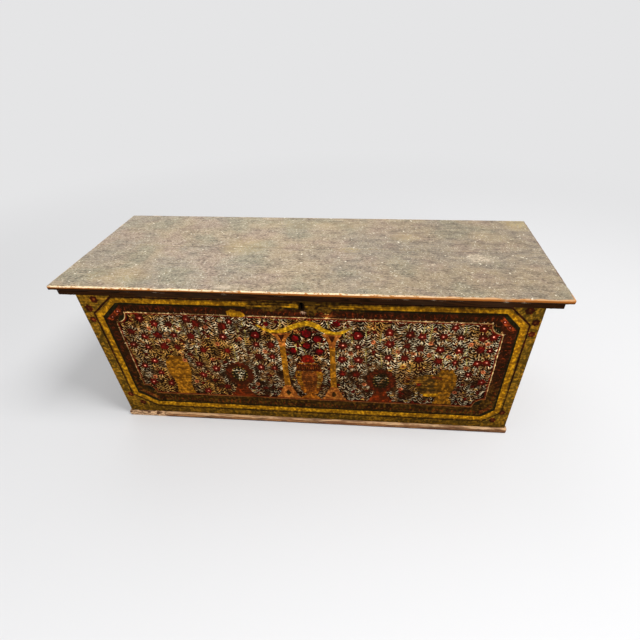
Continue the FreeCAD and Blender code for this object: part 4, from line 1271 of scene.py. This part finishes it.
# %% Lid finish
def lid_top(tree, place, split, patchy, fine, grain):
    """The lid's paint: clouds of five tones, scratches along the grain, stains, scuffs, specks and painted shade to
    the right.
    """
    broad, hue = cloud(tree, place, 4.5, 3.0), cloud(tree, place, 7.0, 2.0)
    tone = mix(tree, rise(tree, broad, 0.38, 0.62), LID_WARM, LID_COOL)
    # One of these tones is painted shade: the lid grows darker towards its right end.
    for value, low, high, share, colour in (
            (hue, 0.50, 0.64, 0.7, LID_GREEN), (hue, 0.46, 0.36, 0.6, LID_PINK), (patchy, 0.46, 0.72, 0.40, LID_DARK),
            (fine, 0.50, 0.62, 0.75, LID_DARK), (fine, 0.46, 0.36, 0.60, LID_SCUFF),
            (split["X"], -0.35, 0.62, 0.37, LID_DARK), (grain, 0.50, 0.66, 0.30, LID_DARK),
            (grain, 0.44, 0.34, 0.35, LID_SCUFF)):
        tone = mix(tree, rise(tree, value, low, high, 0.0, share), tone, colour)
    stain = plus(tree, spots_on_top(tree, split, STAINS), rise(tree, patchy, 0.60, 0.38, 0.0, 0.25))
    tone = mix(tree, times(tree, stain, rise(tree, fine, 0.35, 0.65)), tone, LID_OCHRE)
    scuff = rise(tree, plus(tree, spots_on_top(tree, split, SCUFFS), patchy), 0.72, 0.92, 0.0, 0.8)
    tone = mix(tree, times(tree, scuff, rise(tree, fine, 0.44, 0.52)), tone, LID_SCRATCH)
    speck = rise(tree, cloud(tree, place, 75.0, 1.0), 0.735, 0.765)
    dust = times(tree, rise(tree, cloud(tree, place, 260.0, 2.0), 0.62, 0.67, 0.0, 0.85),
                 rise(tree, patchy, 0.42, 0.60, 1.0, 0.3))
    return mix(tree, greater(tree, speck, dust), tone, LID_SPECK)


def lid_rim(tree, split, fine, level):
    """Bare wood on the rim: pale on its edge with a painted highlight, browner below, then painted shade, dull at the
    right end.
    """
    wood = mix(tree, rise(tree, fine, 0.50, 0.64), RIM_PALE_AND_HIGHLIGHT, RIM_WARM)
    wood = mix(tree, rise(tree, split["X"], 0.10, 0.62, 0.0, 0.8), wood, RIM_WARM)
    wood = mix(tree, rise(tree, level, 2.5 * MM, 5.0 * MM), wood, RIM_BROWN)
    # Painted shade on the lower part of the edge, starting a little lower on the right.
    shaded = minus(tree, level, rise(tree, split["X"], -0.35, 0.10, 0.0, 2.8 * MM))
    wood = mix(tree, rise(tree, shaded, 5.5 * MM, 8.5 * MM), wood, RIM_PAINTED_SHADE)
    right_end = times(tree, rise(tree, split["X"], LID_HIGH.x - 12.0 * MM, LID_HIGH.x - 8.0 * MM),
                      rise(tree, split["Y"], LID_LOW.y + 20.0 * MM, LID_LOW.y + 60.0 * MM))
    return mix(tree, right_end, wood, RIM_DULL)


def lid_finish():
    """Paint on top, a nibbled rim of bare wood round it, and plain wood below. Only the paint shines."""
    made, tree, shader = material("lid paint")
    place, split = whereabouts(tree)
    inside = use_group(tree, BARE_WOOD, Pale=PINE_PALE, Dark=PINE_DARK, Grime=0.26, Grain=ALONG_X)
    patchy = cloud(tree, place, 34.0, 8.0, (0.75, 1.0, 1.0))
    fine = cloud(tree, place, 210.0, 4.0, (0.5, 1.0, 1.0))
    grain = cloud(tree, place, 9.0, 6.0, (1.0, 26.0, 26.0))
    nibble = times(tree, minus(tree, cloud(tree, place, 18.0, 7.0), 0.5), 18.0 * MM)
    from_edge = from_outline(tree, split, LID_HIGH.x, LID_LOW.y, LID_BACK)
    rim = rise(tree, plus(tree, from_edge, nibble), 2.0 * MM, 6.0 * MM, 1.0, 0.0)
    level = minus(tree, LID_HIGH.z, plus(tree, split["Z"], times(tree, nibble, 0.12)))
    under = rise(tree, split["Z"], LID_LOW.z + 0.8 * MM, LID_LOW.z + 1.6 * MM, 1.0, 0.0)
    bare = times(tree, under, rise(tree, from_edge, 5.0 * MM, 8.0 * MM))
    colour = mix(tree, rim, lid_top(tree, place, split, patchy, fine, grain), lid_rim(tree, split, fine, level))
    colour = mix(tree, bare, colour, inside["Color"])
    rough = rise(tree, plus(tree, patchy, times(tree, fine, 0.5)), 0.45, 1.0, 0.42, 0.68)
    rough = greater(tree, rough, times(tree, greater(tree, rim, bare), 0.7))
    height = weighed(tree, (fine, 0.3), (grain, -0.5), (inside["Height"], 0.2))
    surface(tree, shader, colour, rough, height, 0.6 * MM)
    join(tree, [(rise(tree, level, 1.0 * MM, 4.0 * MM, 0.26, 0.03), shader.inputs["Specular IOR Level"])])
    return made


LID_PAINT = lid_finish()
print("lid finish has", len(LID_PAINT.node_tree.nodes), "nodes")

# %% [markdown]
# The lid is two worn boards. Their rims are rounded by a few millimetres, and the two edges that meet by far less.

# %% Lid boards
ROUND_RIM, JOINT_EDGE = 5.5 * MM, 0.7 * MM
LID_CELL = (9 * MM, 9 * MM, 3 * MM)
END_ROUNDS, UPRIGHT = (ROUND_RIM, ROUND_RIM), (4.0 * MM, ROUND_RIM)
worn_board("worn_lid_front", "lid_plank_front", LID_PAINT, "lid",
           (END_ROUNDS, (ROUND_RIM, JOINT_EDGE), UPRIGHT), LID_CELL, seed=1.3)
worn_board("worn_lid_back", "lid_plank_back", LID_PAINT, "lid",
           (END_ROUNDS, (JOINT_EDGE, ROUND_RIM), UPRIGHT), LID_CELL, seed=5.1)
print("rims rounded by", round(ROUND_RIM / MM, 1), "mm")

# %% [markdown]
# ## The base, the trim and the inside
# The base boards are tan-red bare softwood, dark in patches where hands and mops have reached, with painted shade
# along their foot. The front one gets the same wear as the lid and a painted highlight on its pale upper edge, and a
# splinter is missing near its left end. The moulding and the cleats are nearly black, the moulding darker still with
# painted shade, as it sits under the lid's edge. The till and the inside were never painted.

# %% Base and trim
CHIP = {"x": (-640, -590), "high": 15.0, "deep": 13.0}
BASE_LOW, BASE_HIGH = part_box("base_plank_front")
BASE_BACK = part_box("base_plank_back")[1].y


def splintered(spot):
    """Pushes the board's upper front edge back where the splinter is missing."""
    across = (spot.x / MM - CHIP["x"][0]) / (CHIP["x"][1] - CHIP["x"][0])
    if not 0 < across < 1:
        return spot
    inside = min(1.0, 6 * across, 6 * (1 - across)) * (0.8 + 0.4 * noise.noise(spot / (9 * MM)))
    foot = BASE_HIGH.z - CHIP["high"] * MM * inside
    lip = BASE_LOW.y + CHIP["deep"] * MM * inside
    if spot.z > foot and spot.y < lip:
        spot = Vector((spot.x, min(spot.y + (spot.z - foot) * 2.0, lip), spot.z))
    return spot


def wood_material(name, pale, dark, darkening, grain, gloss=0.25):
    """Bare wood in two colours."""
    made, tree, shader = material(name)
    wood = use_group(tree, BARE_WOOD, Pale=pale, Dark=dark, Grime=darkening, Grain=grain)
    surface(tree, shader, wood["Color"], wood["Roughness"], wood["Height"], 0.5 * MM, gloss)
    return made


def base_finish():
    """Softwood. Where knocked, its upper edge is rubbed pale with a painted highlight; painted shade at its foot; torn
    at the left.
    """
    made, tree, shader = material("base wood")
    place, split = whereabouts(tree)
    knocked = rise(tree, from_outline(tree, split, BASE_HIGH.x, BASE_LOW.y, BASE_BACK), 18.0 * MM, 34.0 * MM, 1.0, 0.0)
    wood = use_group(tree, BARE_WOOD, Pale=paint(172, 124, 76), Dark=paint(92, 52, 26), Grain=ALONG_X,
                     Grime=rise(tree, knocked, 0.0, 1.0, 0.35, 0.85))
    patchy = cloud(tree, place, 26.0, 5.0)
    height = plus(tree, split["Z"], times(tree, minus(tree, patchy, 0.5), 16.0 * MM))
    patches = times(tree, knocked, rise(tree, patchy, 0.52, 0.64, 0.0, 0.75))
    colour = mix(tree, patches, wood["Color"], paint(74, 44, 24))
    # The pale upper edge is rubbed wood with a painted highlight.
    rubbed = times(tree, knocked, rise(tree, height, BASE_HIGH.z - 7.0 * MM, BASE_HIGH.z - 1.0 * MM, 0.0, 0.65))
    colour = mix(tree, rubbed, colour, paint(222, 180, 134))
    # Painted shade along the foot, where the boards meet the floor.
    colour = mix(tree, rise(tree, height, 10.0 * MM, 3.0 * MM, 0.0, 0.85), colour, paint(52, 32, 18))
    streak = cloud(tree, place, 16.0, 5.0, (1.0, 8.0, 20.0))
    colour = mix(tree, rise(tree, streak, 0.48, 0.60, 0.0, 0.7), colour, paint(84, 46, 26))
    splinters = mix(tree, rise(tree, cloud(tree, place, 120.0, 5.0, (0.45, 1.0, 2.2)), 0.42, 0.58), paint(66, 38, 21),
                    paint(204, 165, 124))
    torn = times(tree, rise(tree, split["X"], -0.60, -0.57, 1.0, 0.0),
                 rise(tree, split["Y"], BASE_LOW.y + 16.0 * MM, BASE_LOW.y + 40.0 * MM, 0.85, 0.0))
    surface(tree, shader, mix(tree, torn, colour, splinters), wood["Roughness"], wood["Height"], 0.8 * MM, 0.1)
    return made


BASE_PINE = base_finish()
# The moulding's near black is its own dark colour with painted shade, as it sits under the lid's edge.
DARK_TRIM_AND_SHADE = wood_material("dark trim and painted shade", paint(48, 25, 9), paint(12, 7, 3), 0.35, ALONG_X, 0.01)
TRIM_ACROSS = wood_material("dark cleats", paint(42, 24, 11), paint(20, 12, 6), 0.35, ALONG_Y, 0.05)
BARE_ACROSS = wood_material("till wood", PINE_PALE, PINE_DARK, 0.35, ALONG_Y)
BASE_ROUNDS = ((6 * MM, 6 * MM), (7 * MM, 0.7 * MM), (3 * MM, 6 * MM))
BASE_CELL = (4 * MM, 12 * MM, 2.2 * MM)
worn_board("worn_base_front", "base_plank_front", BASE_PINE, "case", BASE_ROUNDS, BASE_CELL, chip=1.3,
           seed=9.2, extra=splintered)
dress(BASE_PINE, "base_plank_middle", "base_plank_back")
dress(DARK_TRIM_AND_SHADE, "lid_front_moulding")
dress(TRIM_ACROSS, "lid_cleat_left", "lid_cleat_right")
dress(BARE_ACROSS, "till_floor", "till_front")
print("base, trim and till dressed")

# %% [markdown]
# ## Ironwork
# Forged iron is dark and uneven, with hammer marks a few millimetres wide and rust in the hollows. The bolt and the
# pins are rubbed bright where they move. The lock's inner parts are dark with grease and with painted shade, so the
# keyhole looks dark.

# %% Iron
def iron(name, bare, rust, share):
    """Hammered iron, with rust on a share of it."""
    made, tree, shader = material(name)
    place = whereabouts(tree)[0]
    hammer, fine = cloud(tree, place, 70.0, 1.0), cloud(tree, place, 320.0, 4.0)
    spread = weighed(tree, (cloud(tree, place, 24.0, 4.0), 0.7), (fine, 0.3))
    rusty = rise(tree, spread, 0.60 - share, 0.72 - share)
    colour = mix(tree, rise(tree, fine, 0.4, 0.6), paint(*bare), paint(38, 36, 36))
    colour = mix(tree, rusty, colour, mix(tree, fine, paint(*rust), paint(60, 32, 18)))
    rough = rise(tree, rusty, 0.0, 1.0, 0.42, 0.85)
    surface(tree, shader, colour, rough, weighed(tree, (hammer, 0.8), (fine, 0.2)), 0.8 * MM, 0.5)
    join(tree, [(rise(tree, rusty, 0.0, 1.0, 0.85, 0.15), shader.inputs["Metallic"])])
    return made


FORGED = iron("forged iron", (92, 90, 88), (128, 70, 34), 0.08)
RUBBED_IRON = iron("rubbed iron", (140, 136, 130), (120, 70, 38), -0.04)
# The lock's parts are dark with grease and with painted shade, so the keyhole looks dark.
LOCK_IRON_GREASE_AND_SHADE = iron("lock iron with grease and painted shade", (44, 42, 40), (58, 36, 22), 0.04)
dress(FORGED, "hinge_plate_left", "hinge_plate_right", "hinge_plate_nails", "hinge_strap_left", "hinge_strap_right",
      "hinge_strap_nails", "lock_nails", "base_nails", "cleat_nails", "lid_staple_nails")
dress(LOCK_IRON_GREASE_AND_SHADE, "lock_plate", "lock_cover", "lock_guides", "lock_key_pin")
dress(RUBBED_IRON, "hinge_pin_left", "hinge_pin_right", "lock_bolt", "lock_spring", "lid_staple")
print("ironwork dressed")

# %% [markdown]
# ## Floor and light
# The chest stands on a pale floor in soft, even light, so that every colour looks about as it was mixed. Most of the
# light comes from the front right and leaves a soft shadow on the left, and a broad lamp behind the chest gives the
# lid its dull shine. To the camera and in reflections, the floor fades with distance into one even tone, and the
# world beyond it has that tone as well, so no horizon shows.

# %% Floor and light
FLOOR_REACH = 12.0
FADE_START, FADE_END = 1.4, 4.0
FLOOR_PALE, FAR_TONE = paint(226, 226, 227), paint(229, 229, 230)


def looks_on(tree):
    """1 for rays from the camera, off a shiny surface or through glass, and 0 for light that falls on things."""
    rays = add(tree, "ShaderNodeLightPath").outputs
    mirrored = greater(tree, rays["Is Glossy Ray"], rays["Is Transmission Ray"])
    return greater(tree, rays["Is Camera Ray"], mirrored)


def floor():
    """One large square, plain near the chest and an even glow far from it."""
    mesh = bpy.data.meshes.new("floor")
    corners = [(x * FLOOR_REACH, y * FLOOR_REACH, 0) for x, y in ((-1, -1), (1, -1), (1, 1), (-1, 1))]
    mesh.from_pydata(corners, [], [(0, 1, 2, 3)])
    made = bpy.data.objects.new("floor", mesh)
    finish, tree, shader = material("floor")
    shader.inputs["Base Color"].default_value = FLOOR_PALE
    shader.inputs["Roughness"].default_value = 0.9
    shader.inputs["Specular IOR Level"].default_value = 0.1
    glow = add(tree, "ShaderNodeEmission", ("Color", FAR_TONE), ("Strength", 1.0)).outputs[0]
    distance = add(tree, "ShaderNodeVectorMath", (0, whereabouts(tree)[0]), operation="LENGTH").outputs["Value"]
    share = times(tree, looks_on(tree), rise(tree, distance, FADE_START, FADE_END, 0.12, 1.0))
    both = add(tree, "ShaderNodeMixShader", (0, share), (1, shader.outputs[0]), (2, glow))
    tree.links.new(both.outputs[0], tree.nodes["Material Output"].inputs["Surface"])
    mesh.materials.append(finish)
    bpy.context.scene.collection.objects.link(made)


def lamp(name, place, aim, size, power):
    """A square lamp at a place, turned towards its aim."""
    made = bpy.data.objects.new(name, bpy.data.lights.new(name, "AREA"))
    made.data.size = size
    made.data.energy = power
    made.location = place
    made.rotation_euler = (Vector(aim) - Vector(place)).to_track_quat("-Z", "Y").to_euler()
    bpy.context.scene.collection.objects.link(made)


def studio_world(light):
    """White light from all round for the chest, and the far tone for the eye."""
    world = bpy.data.worlds.new("studio")
    world.use_nodes = True
    tree = world.node_tree
    seen = add(tree, "ShaderNodeBackground", ("Color", FAR_TONE), ("Strength", 1.0)).outputs[0]
    lit = tree.nodes["Background"]
    lit.inputs["Color"].default_value = (1.0, 1.0, 1.0, 1.0)
    lit.inputs["Strength"].default_value = light
    both = add(tree, "ShaderNodeMixShader", (0, looks_on(tree)), (1, lit.outputs[0]), (2, seen)).outputs[0]
    tree.links.new(both, tree.nodes["World Output"].inputs["Surface"])
    bpy.context.scene.world = world


floor()
lamp("front lamp", (0.6, -4.2, 1.3), (0, -0.3, 0.25), 2.4, 122)
lamp("right lamp", (4.2, -1.2, 7.0), (0, 0, 0.3), 3.0, 455)
lamp("lamp behind", (-1.0, 2.6, 3.0), (0, 0, 0.5), 3.2, 30)
studio_world(0.36)
bpy.context.scene.view_settings.view_transform = "Standard"
print("floor and lamps ready")
